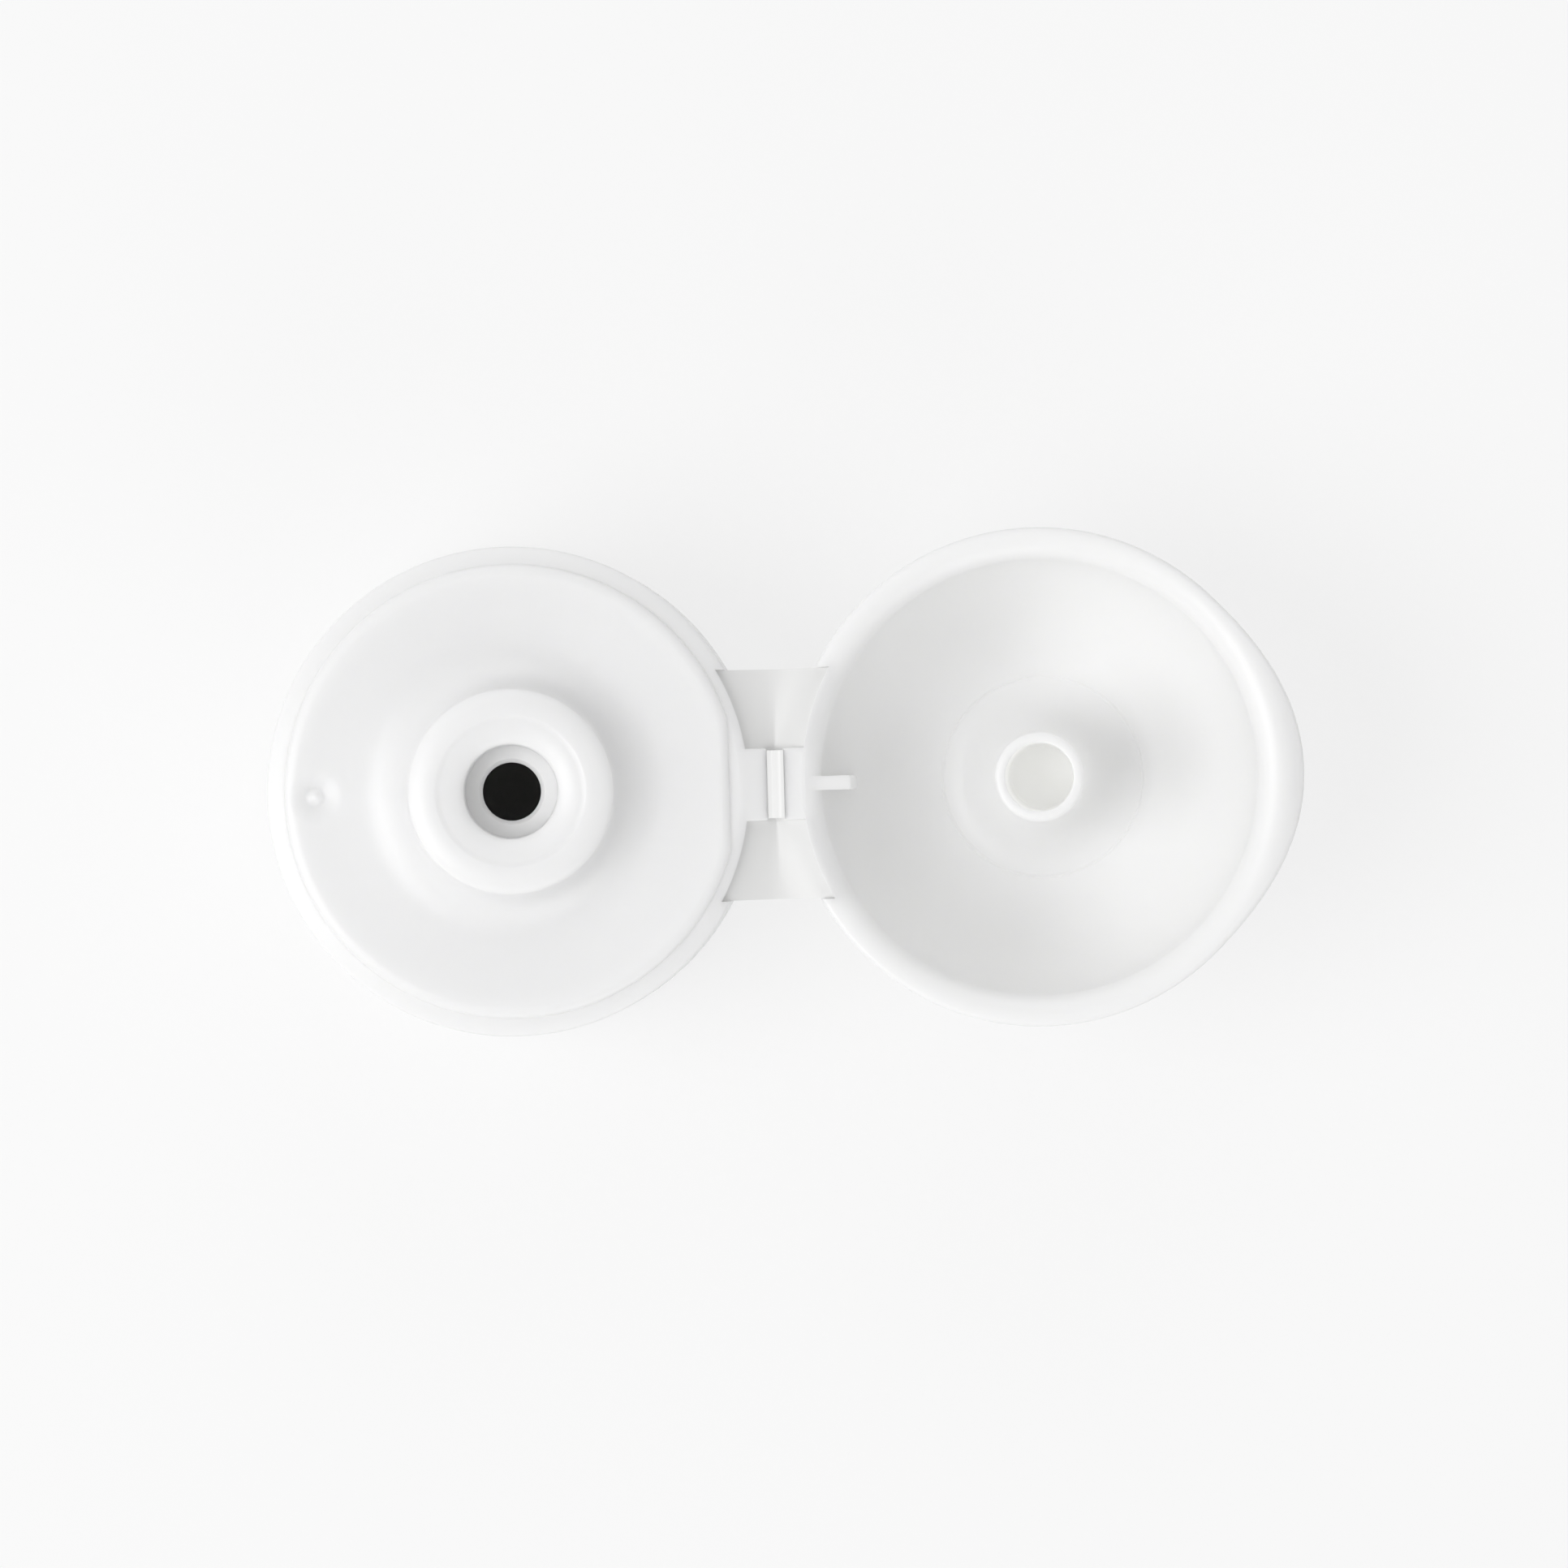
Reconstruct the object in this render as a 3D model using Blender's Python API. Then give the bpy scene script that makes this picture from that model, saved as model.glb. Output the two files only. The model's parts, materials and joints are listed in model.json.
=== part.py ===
"""Flip top screw cap, moulded in one piece with a living hinge, standing open. Metres, +Z up.

The hinge side faces +X. The origin is the middle of the foot print of the open cap, at the skirt's foot.
Each turned form is drawn as a half section (radius, height) and spun. The lid is drawn shut, over the
body, and its frame then turns it open about the fold line.
"""

import math

import bmesh
import bpy
from mathutils import Matrix, Vector

MM = 0.001
SEGMENTS = 54
MARK_SEGMENTS = 20
DOME_STEPS = 10
ROUND_STEPS = 5
SMALL_ROUND_STEPS = 3
SMOOTH_ANGLE = math.radians(32)
MERGE_DISTANCE = 0.0001 * MM
AXIS_TOLERANCE = 0.001 * MM

# Skirt that screws on to the bottle. Its foot radius sets the size of the whole cap in plan
SKIRT_FOOT_R = 14.0 * MM
SKIRT_TAPER = 0.15 * MM
SKIRT_HEIGHT = 15.0 * MM
SKIRT_WALL = 1.6 * MM
FOOT_CHAMFER = 0.25 * MM
NECK_LEAD_IN = 0.4 * MM
NECK_LEAD_IN_HEIGHT = 0.9 * MM

# Thread inside the skirt
THREAD_DEPTH = 0.85 * MM
THREAD_PITCH = 3.18 * MM
THREAD_TURNS = 1.5
THREAD_START_Z = 3.0 * MM
THREAD_ROOT_WIDTH = 1.8 * MM
THREAD_CREST_WIDTH = 0.7 * MM
THREAD_SINK = 0.3 * MM
THREAD_RUN_OUT = math.radians(45)
THREAD_END_SHARE = 0.08

# Parting ledge and raised deck
LEDGE_WIDTH = 1.0 * MM
LEDGE_FALL = 0.38 * MM
LEDGE_LAND = 0.1 * MM
DECK_RISE = 0.4 * MM
DECK_EDGE_WIDTH = 0.65 * MM
DECK_EDGE_FALL = 0.35 * MM
DECK_DISH = 0.13 * MM
DECK_THICKNESS = 1.2 * MM
DECK_FLAT_DEPTH = 0.55 * MM
SEAL_BEAD_INSET = 2.05 * MM
SEAL_BEAD_HEIGHT = 0.45 * MM

# Nozzle on the deck
NOZZLE_R = 5.8 * MM
NOZZLE_RISE = 2.7 * MM
NOZZLE_FLARE = 2.7 * MM
SHOULDER_HEIGHT = 0.55 * MM
CROWN_WIDTH = 1.4 * MM
STEP_INSET = 0.15 * MM
STEP_DROP = 0.08 * MM
BORE_R = 2.65 * MM
MOUTH_FLARE = 1.45 * MM
MOUTH_FALL = 0.55 * MM
BORE_DEPTH = 2.6 * MM
ORIFICE_R = 1.65 * MM
ORIFICE_CHAMFER = 0.22 * MM
FLOOR_THICKNESS = 0.95 * MM
BORE_WALL = 1.0 * MM
NOZZLE_WALL = 1.05 * MM

# Gate mark on the deck
GATE_INSET = 1.75 * MM
GATE_R = 1.15 * MM
GATE_DEPTH = 0.28 * MM
GATE_NUB_R = 0.42 * MM
GATE_NUB_HEIGHT = 0.2 * MM

# Thumb scoop in the front of the skirt
SCOOP_PLAN_R = 22.15 * MM
SCOOP_DEPTH = 0.62 * MM
SCOOP_HEIGHT = 7.4 * MM
SCOOP_CUT_REACH = 3.5 * MM
SCOOP_RUN_OUT = math.radians(5)

# Lid shell
LID_OVERHANG = 0.1 * MM
LID_HEIGHT = 11.0 * MM
LID_CROWN_R = 6.0 * MM
LID_CURVE = 1.9
LID_WALL = 1.2 * MM
RIM_ROUND = 0.25 * MM
RIM_BEND_WIDTH = 1.4 * MM
RIM_BEND_FALL = 1.2 * MM
RIM_BEND_SET_OUT = 0.17 * MM
RIM_BEND_START_DEG = 12
MOUTH_CUT = 1.0 * MM
RING_LINE_R = 5.72 * MM
RING_LINE_WIDTH = 0.09 * MM
RING_LINE_DEPTH = 0.06 * MM

# Plug that seals the bore
PLUG_ENGAGEMENT = 1.0 * MM
PLUG_WALL = 0.62 * MM
PLUG_TIP_ROUND = 0.3 * MM
PLUG_CORE_FLOOR = 3.0 * MM
PLUG_FLARE_INSET = 0.05 * MM
PLUG_FLARE_HEIGHT = 3.4 * MM

# Thumb lip on the front of the lid
LIP_R = 10.75 * MM
LIP_REACH = 0.85 * MM
LIP_THICKNESS = 1.5 * MM
LIP_FALL = 2.2 * MM
LIP_TUCK = 1.1 * MM
LIP_BLEND = 0.5 * MM

# Rib inside the lid, behind the hinge
RIB_REACH = 3.6 * MM
RIB_WIDTH = 0.8 * MM
RIB_DEPTH = 6.9 * MM
RIB_SLANT = 0.3 * MM
RIB_STEPS = 4

# Living hinge
HINGE_STAND_OFF = 0.9 * MM
OPEN_ANGLE = math.radians(177.5)
HINGE_WIDTH = 13.0 * MM
RECESS_DEPTH = 0.45 * MM
RECESS_HEIGHT = 2.7 * MM
RECESS_STEPS = 10
TAB_WIDTH = 4.1 * MM
TAB_THICKNESS = 1.0 * MM
TAB_EASE = 0.33 * MM
TAB_GAP_TO_FOLD = 0.45 * MM
TAB_SET_BACK = 0.06 * MM
TAB_ROOT_DEPTH = 0.2 * MM
FILM_THICKNESS = 0.3 * MM
WEB_DROP = 0.62 * MM
WEB_SAG = 0.85 * MM
WEB_FOLD_SHARPNESS = 1.3
WEB_COLUMNS = 6
WEB_ROWS = 6

# Clearances
SHUT_GAP = 0.1 * MM
DECK_CLEARANCE = 0.7 * MM
RIB_CLEARANCE = 0.15 * MM
PLUG_CLEARANCE = 0.1 * MM
FILM_GAP = 0.15 * MM
RECESS_CLEARANCE = 0.05 * MM

# Colours of the white polypropylene, and of its thin film at the fold
SHELL_WHITE = (0.86, 0.86, 0.85, 1.0)
FILM_WHITE = (0.83, 0.83, 0.82, 1.0)
SHELL_ROUGHNESS = 0.28
FILM_ROUGHNESS = 0.32

# Radii that follow from the skirt and its walls
SKIRT_TOP_R = SKIRT_FOOT_R - SKIRT_TAPER
NECK_R = SKIRT_TOP_R - SKIRT_WALL
SEAL_BEAD_R = NECK_R - SEAL_BEAD_INSET
DECK_R = SKIRT_TOP_R - LEDGE_WIDTH
DECK_FLAT_X = DECK_R - DECK_FLAT_DEPTH
GATE_X = DECK_R - GATE_INSET
RECESS_R = SKIRT_TOP_R - RECESS_DEPTH
CROWN_R = NOZZLE_R - CROWN_WIDTH
LID_R = SKIRT_FOOT_R + LID_OVERHANG
LIP_OFFSET = LID_R + LIP_REACH - LIP_R
RIM_R = DECK_R + DECK_CLEARANCE
BOWL_R = RIM_R + RIM_BEND_SET_OUT - RIM_BEND_WIDTH
PLUG_R = BORE_R - PLUG_CLEARANCE
PLUG_FLARE = RING_LINE_R - RING_LINE_WIDTH - PLUG_FLARE_INSET - PLUG_R

# Heights, depths in from the lid's mouth, and places that follow
DECK_TOP_Z = SKIRT_HEIGHT + DECK_RISE
DECK_UNDER_Z = DECK_TOP_Z - DECK_THICKNESS
NOZZLE_TOP_Z = DECK_TOP_Z + NOZZLE_RISE
BORE_MOUTH_Z = NOZZLE_TOP_Z - STEP_DROP - MOUTH_FALL
BORE_FLOOR_Z = BORE_MOUTH_Z - BORE_DEPTH
FLOOR_UNDER_Z = BORE_FLOOR_Z - FLOOR_THICKNESS
RIM_Z = SKIRT_HEIGHT + SHUT_GAP
RIB_TOP_DEPTH = DECK_RISE + RIB_CLEARANCE - SHUT_GAP
LID_FLOOR_DEPTH = LID_HEIGHT - LID_WALL
PLUG_TIP_DEPTH = BORE_MOUTH_Z - PLUG_ENGAGEMENT - RIM_Z
HINGE_X = SKIRT_FOOT_R + HINGE_STAND_OFF
HINGE_Z = SKIRT_HEIGHT + SHUT_GAP / 2
OPEN_REACH = HINGE_X + (HINGE_X + LIP_OFFSET + LIP_R) * -math.cos(OPEN_ANGLE)
LIP_EDGE_LEAN = LIP_THICKNESS * math.sin(OPEN_ANGLE)
CAP_AXIS_X = (SKIRT_FOOT_R - OPEN_REACH - LIP_EDGE_LEAN) / 2


def clear_scene():
    for obj in list(bpy.data.objects):
        bpy.data.objects.remove(obj, do_unlink=True)


def moulded_plastic(name, colour, roughness):
    material = bpy.data.materials.new(name)
    material.use_nodes = True
    shader = material.node_tree.nodes["Principled BSDF"]
    shader.inputs["Base Color"].default_value = colour
    shader.inputs["Roughness"].default_value = roughness
    shader.inputs["Metallic"].default_value = 0.0
    return material


def frame_empty(name, location, turn=0.0, parent=None):
    """An empty that carries pieces, turned about Y."""
    empty = bpy.data.objects.new(name, None)
    empty.location = location
    empty.rotation_euler = (0.0, turn, 0.0)
    empty.parent = parent
    bpy.context.scene.collection.objects.link(empty)
    return empty


def mesh_object(name, bm, parent):
    """The finished bmesh as an object, closed and facing out."""
    bmesh.ops.remove_doubles(bm, verts=bm.verts, dist=MERGE_DISTANCE)
    bmesh.ops.recalc_face_normals(bm, faces=bm.faces)
    mesh = bpy.data.meshes.new(name)
    bm.to_mesh(mesh)
    bm.free()
    mesh.shade_smooth()
    mesh.set_sharp_from_angle(angle=SMOOTH_ANGLE)
    obj = bpy.data.objects.new(name, mesh)
    obj.parent = parent
    bpy.context.scene.collection.objects.link(obj)
    return obj


def as_tool(obj):
    """Keeps a cutting or joining shape out of the finished object."""
    obj.hide_render = True
    obj.display_type = "WIRE"
    return obj


def combine(obj, tool, operation):
    """Adds one step to the moulding. The exact solver leaves open slivers where the shallow arcs meet."""
    modifier = obj.modifiers.new(f"{operation.lower()} {tool.name}", "BOOLEAN")
    modifier.operation = operation
    modifier.solver = "MANIFOLD"
    modifier.object = as_tool(tool)


def ellipse_arc(centre, radii, start_deg, end_deg, steps):
    """Points along an elliptical arc of a half section, both ends included."""
    points = []
    for step in range(steps + 1):
        angle = math.radians(start_deg + (end_deg - start_deg) * step / steps)
        radius = centre[0] + radii[0] * math.cos(angle)
        height = centre[1] + radii[1] * math.sin(angle)
        points.append((radius, height))
    return points


def turned(name, section, parent, offset_x=0.0, segments=SEGMENTS):
    """Spins a closed half section once round the upright axis at offset_x."""
    bm = bmesh.new()
    ring = [bm.verts.new((radius, 0.0, height)) for radius, height in section]
    edges = [bm.edges.new((ring[i - 1], ring[i])) for i in range(len(ring))]
    axis_edges = [edge for edge in edges if all(v.co.x < AXIS_TOLERANCE for v in edge.verts)]
    for edge in axis_edges:
        edges.remove(edge)
        bm.edges.remove(edge)
    bmesh.ops.spin(
        bm,
        geom=ring + edges,
        cent=(0.0, 0.0, 0.0),
        axis=(0.0, 0.0, 1.0),
        angle=math.tau,
        steps=segments,
        use_merge=True,
    )
    bmesh.ops.translate(bm, vec=(offset_x, 0.0, 0.0), verts=bm.verts)
    return mesh_object(name, bm, parent)


def skinned(name, rings, parent):
    """A solid through a row of rings with the same number of points, capped at both ends."""
    bm = bmesh.new()
    loops = [[bm.verts.new(point) for point in ring] for ring in rings]
    for first, second in zip(loops, loops[1:]):
        for i in range(len(first)):
            bm.faces.new((first[i - 1], first[i], second[i], second[i - 1]))
    bm.faces.new(loops[0])
    bm.faces.new(list(reversed(loops[-1])))
    return mesh_object(name, bm, parent)


def prism(name, outline, start, end, axis, parent):
    """An outline drawn across an axis, "Y" or "Z", and drawn out along it from start to end."""
    if axis == "Z":
        rings = [[(x, y, height) for x, y in outline] for height in (start, end)]
    else:
        rings = [[(x, y, z) for x, z in outline] for y in (start, end)]
    return skinned(name, rings, parent)


def deck_edge_arc(edge_x, start_deg, end_deg):
    """The rounded edge of the deck, where the wall below it stands at edge_x."""
    centre = (edge_x - DECK_EDGE_WIDTH, DECK_TOP_Z - DECK_EDGE_FALL)
    return ellipse_arc(centre, (DECK_EDGE_WIDTH, DECK_EDGE_FALL), start_deg, end_deg, SMALL_ROUND_STEPS)


def skirt_section():
    """Outer wall, ledge and deck edge, from the foot up to the deck."""
    return [
        (SKIRT_FOOT_R - FOOT_CHAMFER, 0.0),
        (SKIRT_FOOT_R, FOOT_CHAMFER),
        (SKIRT_TOP_R, SKIRT_HEIGHT - LEDGE_FALL),
        (DECK_R + LEDGE_LAND, SKIRT_HEIGHT),
        (DECK_R, SKIRT_HEIGHT),
    ] + deck_edge_arc(DECK_R, 0, 90)


def nozzle_section():
    """From the dished deck up the flare, over the shoulder and down the mouth, bore and orifice."""
    deck_z = DECK_TOP_Z - DECK_DISH
    waist_z = NOZZLE_TOP_Z - SHOULDER_HEIGHT
    flare_foot_r = NOZZLE_R + NOZZLE_FLARE
    flare = ellipse_arc(
        (flare_foot_r, waist_z), (NOZZLE_FLARE, waist_z - deck_z), 270, 180, ROUND_STEPS + 1
    )
    shoulder = ellipse_arc((CROWN_R, waist_z), (CROWN_WIDTH, SHOULDER_HEIGHT), 0, 90, ROUND_STEPS)
    mouth_r = BORE_R + MOUTH_FLARE
    mouth = ellipse_arc(
        (mouth_r, BORE_MOUTH_Z), (MOUTH_FLARE, MOUTH_FALL), 90, 180, SMALL_ROUND_STEPS
    )
    bore = [
        (BORE_R, BORE_FLOOR_Z),
        (ORIFICE_R + ORIFICE_CHAMFER, BORE_FLOOR_Z),
        (ORIFICE_R, BORE_FLOOR_Z - ORIFICE_CHAMFER),
        (ORIFICE_R, FLOOR_UNDER_Z),
    ]
    return flare + shoulder[1:] + [(CROWN_R - STEP_INSET, NOZZLE_TOP_Z)] + mouth + bore


def underside_section():
    """From the orifice out under the floor, up the core beside the bore, and down the neck wall."""
    core_top_z = NOZZLE_TOP_Z - SHOULDER_HEIGHT - NOZZLE_WALL / 2
    core_inner_r = BORE_R + BORE_WALL
    core_outer_r = NOZZLE_R - NOZZLE_WALL
    return [
        (core_inner_r, FLOOR_UNDER_Z),
        (core_inner_r, core_top_z),
        (core_outer_r, core_top_z),
        (core_outer_r + NOZZLE_FLARE - NOZZLE_WALL, DECK_UNDER_Z),
        (SEAL_BEAD_R - SEAL_BEAD_HEIGHT, DECK_UNDER_Z),
        (SEAL_BEAD_R, DECK_UNDER_Z - SEAL_BEAD_HEIGHT),
        (SEAL_BEAD_R + SEAL_BEAD_HEIGHT, DECK_UNDER_Z),
        (NECK_R, DECK_UNDER_Z),
        (NECK_R, NECK_LEAD_IN_HEIGHT),
        (NECK_R + NECK_LEAD_IN, 0.0),
    ]


def thread_ring(angle, height, rise):
    """Cross-section of the thread at one angle: a trapezium whose crest stands in by rise."""
    sunk_r = NECK_R + THREAD_SINK
    flank = (THREAD_ROOT_WIDTH - THREAD_CREST_WIDTH) / 2 * rise / THREAD_DEPTH
    crest_half = THREAD_ROOT_WIDTH / 2 - flank
    section = [
        (sunk_r, -THREAD_ROOT_WIDTH / 2),
        (NECK_R, -THREAD_ROOT_WIDTH / 2),
        (NECK_R - rise, -crest_half),
        (NECK_R - rise, crest_half),
        (NECK_R, THREAD_ROOT_WIDTH / 2),
        (sunk_r, THREAD_ROOT_WIDTH / 2),
    ]
    return [(r * math.cos(angle), r * math.sin(angle), height + z) for r, z in section]


def neck_thread(parent):
    """A right-handed ridge that runs out into the wall at both ends, half a facet off the wall's."""
    sweep = THREAD_TURNS * math.tau
    steps = round(THREAD_TURNS * SEGMENTS)
    half_facet = math.pi / SEGMENTS
    rings = []
    for step in range(steps + 1):
        angle = sweep * step / steps
        to_end = min(angle, sweep - angle)
        share = min(1.0, THREAD_END_SHARE + to_end / THREAD_RUN_OUT)
        rise = THREAD_DEPTH * math.sin(share * math.pi / 2)
        height = THREAD_START_Z + THREAD_PITCH * angle / math.tau
        rings.append(thread_ring(angle + half_facet, height, rise))
    return skinned("neck_thread_form", rings, parent)


def gate_dish(parent):
    """The dish where the plastic was let in, and the nub that was snapped off inside it."""
    bowl = ellipse_arc((0.0, DECK_TOP_Z), (GATE_R, GATE_DEPTH), 270, 360, SMALL_ROUND_STEPS + 1)
    above_z = DECK_TOP_Z + GATE_R
    dish_section = bowl + [(GATE_R, above_z), (0.0, above_z)]
    dish = turned("gate_dish_cutter", dish_section, parent, -GATE_X, MARK_SEGMENTS)
    dish_floor_z = DECK_TOP_Z - GATE_DEPTH
    nub_foot_z = dish_floor_z - GATE_NUB_HEIGHT
    nub_top = ellipse_arc(
        (0.0, dish_floor_z), (GATE_NUB_R, GATE_NUB_HEIGHT), 0, 90, SMALL_ROUND_STEPS
    )
    nub_section = [(0.0, nub_foot_z), (GATE_NUB_R, nub_foot_z)] + nub_top
    nub = turned("gate_nub_form", nub_section, parent, -GATE_X, MARK_SEGMENTS)
    return dish, nub


def scoop_cutter(parent):
    """The space outside a flatter, hollowed front face, which leaves a place for the thumb."""
    centre_x = SCOOP_PLAN_R + SCOOP_DEPTH - SKIRT_TOP_R
    reach = (centre_x**2 + SCOOP_PLAN_R**2 - SKIRT_FOOT_R**2) / (2 * centre_x * SCOOP_PLAN_R)
    half_angle = math.acos(reach) + SCOOP_RUN_OUT
    outer_r = SCOOP_PLAN_R + SCOOP_CUT_REACH
    top_z = SKIRT_HEIGHT + DECK_RISE / 2
    depth_at_foot = SKIRT_TAPER + SCOOP_DEPTH + FOOT_CHAMFER
    hollow = ellipse_arc(
        (SCOOP_PLAN_R + depth_at_foot, SKIRT_HEIGHT - LEDGE_FALL),
        (depth_at_foot, SCOOP_HEIGHT),
        180,
        270,
        ROUND_STEPS + 1,
    )
    foot_z = hollow[-1][1]
    section = [(outer_r, foot_z), (outer_r, top_z), (SCOOP_PLAN_R, top_z)] + hollow
    rings = []
    steps = SEGMENTS // 4
    for step in range(steps + 1):
        angle = math.pi - half_angle + 2 * half_angle * step / steps
        rings.append(
            [(centre_x + r * math.cos(angle), r * math.sin(angle), z) for r, z in section]
        )
    return skinned("thumb_scoop_cutter", rings, parent)


def hinge_recess(name, start_z, end_z, hinge_side, parent):
    """The shallow pocket behind the webs: an arc of the wall, as wide as the hinge."""
    half = HINGE_WIDTH / 2 + RECESS_CLEARANCE
    reach = math.asin(half / RECESS_R)
    outline = []
    for step in range(RECESS_STEPS + 1):
        angle = reach - 2 * reach * step / RECESS_STEPS
        outline.append((RECESS_R * math.cos(angle) + hinge_side, RECESS_R * math.sin(angle)))
    outer_x = hinge_side + HINGE_X
    outline += [(outer_x, -half), (outer_x, half)]
    return prism(name, outline, start_z, end_z, "Z", parent)


def hinge_tab(name, root, end, thickness, parent):
    """The thick strap on one side of the fold. Its face runs from root to end, its back is eased."""
    ease_z = math.copysign(TAB_EASE, thickness)
    outline = [
        root,
        end,
        (end[0], end[1] + thickness - ease_z),
        (end[0] - TAB_EASE, end[1] + thickness),
        (root[0], end[1] + thickness),
    ]
    return prism(name, outline, -TAB_WIDTH / 2, TAB_WIDTH / 2, "Y", parent)


def deck_flat_cutter(parent):
    """Cuts the deck edge straight beside the hinge, down to the ledge, and leaves the new edge rounded."""
    above_z = DECK_TOP_Z + DECK_RISE
    outline = [
        (DECK_FLAT_X, SKIRT_HEIGHT),
        (RIM_R, SKIRT_HEIGHT),
        (RIM_R, above_z),
        (DECK_FLAT_X - DECK_EDGE_WIDTH, above_z),
    ] + deck_edge_arc(DECK_FLAT_X, 90, 0)
    return prism("deck_flat_cutter", outline, -DECK_R, DECK_R, "Y", parent)


def body_tab(parent):
    """The body's half of the strap, which falls away from the deck flat to the fold."""
    root = ((NECK_R + RECESS_R) / 2, SKIRT_HEIGHT - TAB_SET_BACK)
    end = (HINGE_X - TAB_GAP_TO_FOLD, SKIRT_HEIGHT - LEDGE_FALL)
    return hinge_tab("body_tab_form", root, end, -TAB_THICKNESS, parent)


def build_cap_body(cap_frame):
    section = skirt_section() + nozzle_section() + underside_section()
    body = turned("cap_body", section, cap_frame)
    combine(body, deck_flat_cutter(cap_frame), "DIFFERENCE")
    combine(body, scoop_cutter(cap_frame), "DIFFERENCE")
    recess_foot_z = SKIRT_HEIGHT - RECESS_HEIGHT
    recess_top_z = SKIRT_HEIGHT + DECK_RISE / 2
    recess = hinge_recess("body_recess_cutter", recess_foot_z, recess_top_z, 0.0, cap_frame)
    combine(body, recess, "DIFFERENCE")
    combine(body, body_tab(cap_frame), "UNION")
    combine(body, neck_thread(cap_frame), "UNION")
    dish, nub = gate_dish(cap_frame)
    combine(body, dish, "DIFFERENCE")
    combine(body, nub, "UNION")
    body.data.materials.append(moulded_plastic("cap_body_plastic", SHELL_WHITE, SHELL_ROUGHNESS))
    return body


def dome_radius(depth, full_depth, crown_r, mouth_r):
    """Radius of the lid's curved wall at a depth in from its mouth."""
    share = min(1.0, depth / full_depth)
    return crown_r + (mouth_r - crown_r) * (1 - share**LID_CURVE) ** (1 / LID_CURVE)


def dome_depths(start_depth, full_depth):
    """Depths from the start of a curved wall to its crown, closer together where it turns over."""
    shares = [math.sin(math.pi / 2 * step / DOME_STEPS) for step in range(DOME_STEPS + 1)]
    return [start_depth + (full_depth - start_depth) * share for share in shares]


def over_hinge(depth):
    """Height over the fold line, with the lid shut, of a depth in from the lid's mouth."""
    return RIM_Z - HINGE_Z + depth


def lid_section(points):
    """Turns (radius, depth in from the mouth) into (radius, height over the fold line)."""
    return [(radius, over_hinge(depth)) for radius, depth in points]


def lip_radius(angle, depth):
    """Radius of the thumb lip from the lid's axis, at an angle from the front. It tucks in below."""
    fall = min(1.0, max(0.0, (depth - LIP_THICKNESS) / LIP_FALL))
    own_r = LIP_R - LIP_TUCK * (1 - math.sqrt(1 - fall**2))
    across = LIP_OFFSET * math.sin(angle)
    return LIP_OFFSET * math.cos(angle) + math.sqrt(max(0.0, own_r**2 - across**2))


def blended_outer(wall_r, lip_r):
    """The larger of two radii, with a soft hollow where they cross."""
    nearness = max(0.0, 1 - abs(wall_r - lip_r) / LIP_BLEND)
    return max(wall_r, lip_r) + nearness**2 * LIP_BLEND / 4


def lid_outer_ring(depth, rounding):
    """One level outline of the lid, with the thumb lip at its front, drawn shut over the fold line."""
    wall_r = dome_radius(depth, LID_HEIGHT, LID_CROWN_R, LID_R)
    with_lip = depth < LIP_THICKNESS + LIP_FALL
    ring = []
    for step in range(SEGMENTS):
        angle = math.tau * step / SEGMENTS
        outer_r = blended_outer(wall_r, lip_radius(angle, depth)) if with_lip else wall_r
        x = -HINGE_X - (outer_r - rounding) * math.cos(angle)
        y = (outer_r - rounding) * math.sin(angle)
        ring.append((x, y, over_hinge(depth)))
    return ring


def lid_outside(parent):
    """The outer dome, from its rounded rim up to the flat crown."""
    rings = []
    rounding = ellipse_arc((0.0, RIM_ROUND), (RIM_ROUND, RIM_ROUND), 270, 360, SMALL_ROUND_STEPS)
    for inset, rise in rounding[:-1]:
        rings.append(lid_outer_ring(rise, RIM_ROUND - inset))
    for depth in dome_depths(RIM_ROUND, LID_HEIGHT):
        rings.append(lid_outer_ring(depth, 0.0))
    return skinned("flip_lid", rings, parent)


def lid_hollow_section():
    """The space in the lid: soft inner bend, bowl, ring line, flare of the plug, and the plug's core."""
    bend = ellipse_arc(
        (BOWL_R + RIM_BEND_WIDTH, RIM_BEND_FALL),
        (RIM_BEND_WIDTH, RIM_BEND_FALL),
        270 - RIM_BEND_START_DEG,
        180,
        ROUND_STEPS,
    )
    # The bend's first slope carries on above the mouth, so that it crosses the flat rim at RIM_R
    lead = (2 * RIM_R - bend[0][0], -bend[0][1])
    floor_r = RING_LINE_R + RING_LINE_WIDTH
    bowl_depth = LID_FLOOR_DEPTH - RIM_BEND_FALL
    bowl = [
        (dome_radius(depth - RIM_BEND_FALL, bowl_depth, floor_r, BOWL_R), depth)
        for depth in dome_depths(RIM_BEND_FALL, LID_FLOOR_DEPTH)
    ]
    ring_line = [
        (RING_LINE_R, LID_FLOOR_DEPTH + RING_LINE_DEPTH),
        (RING_LINE_R - RING_LINE_WIDTH, LID_FLOOR_DEPTH),
    ]
    flare = ellipse_arc(
        (PLUG_R + PLUG_FLARE, LID_FLOOR_DEPTH - PLUG_FLARE_HEIGHT),
        (PLUG_FLARE, PLUG_FLARE_HEIGHT),
        90,
        180,
        ROUND_STEPS,
    )
    core_r = PLUG_R - PLUG_WALL
    core_depth = LID_HEIGHT - PLUG_CORE_FLOOR
    plug = [
        (PLUG_R, PLUG_TIP_DEPTH + PLUG_TIP_ROUND),
        (PLUG_R - PLUG_TIP_ROUND, PLUG_TIP_DEPTH),
        (core_r, PLUG_TIP_DEPTH),
        (core_r, core_depth),
        (0.0, core_depth),
    ]
    mouth = [(0.0, -MOUTH_CUT), (lead[0], -MOUTH_CUT), lead]
    return lid_section(mouth + bend[:-1] + bowl + ring_line + flare + plug)


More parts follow.
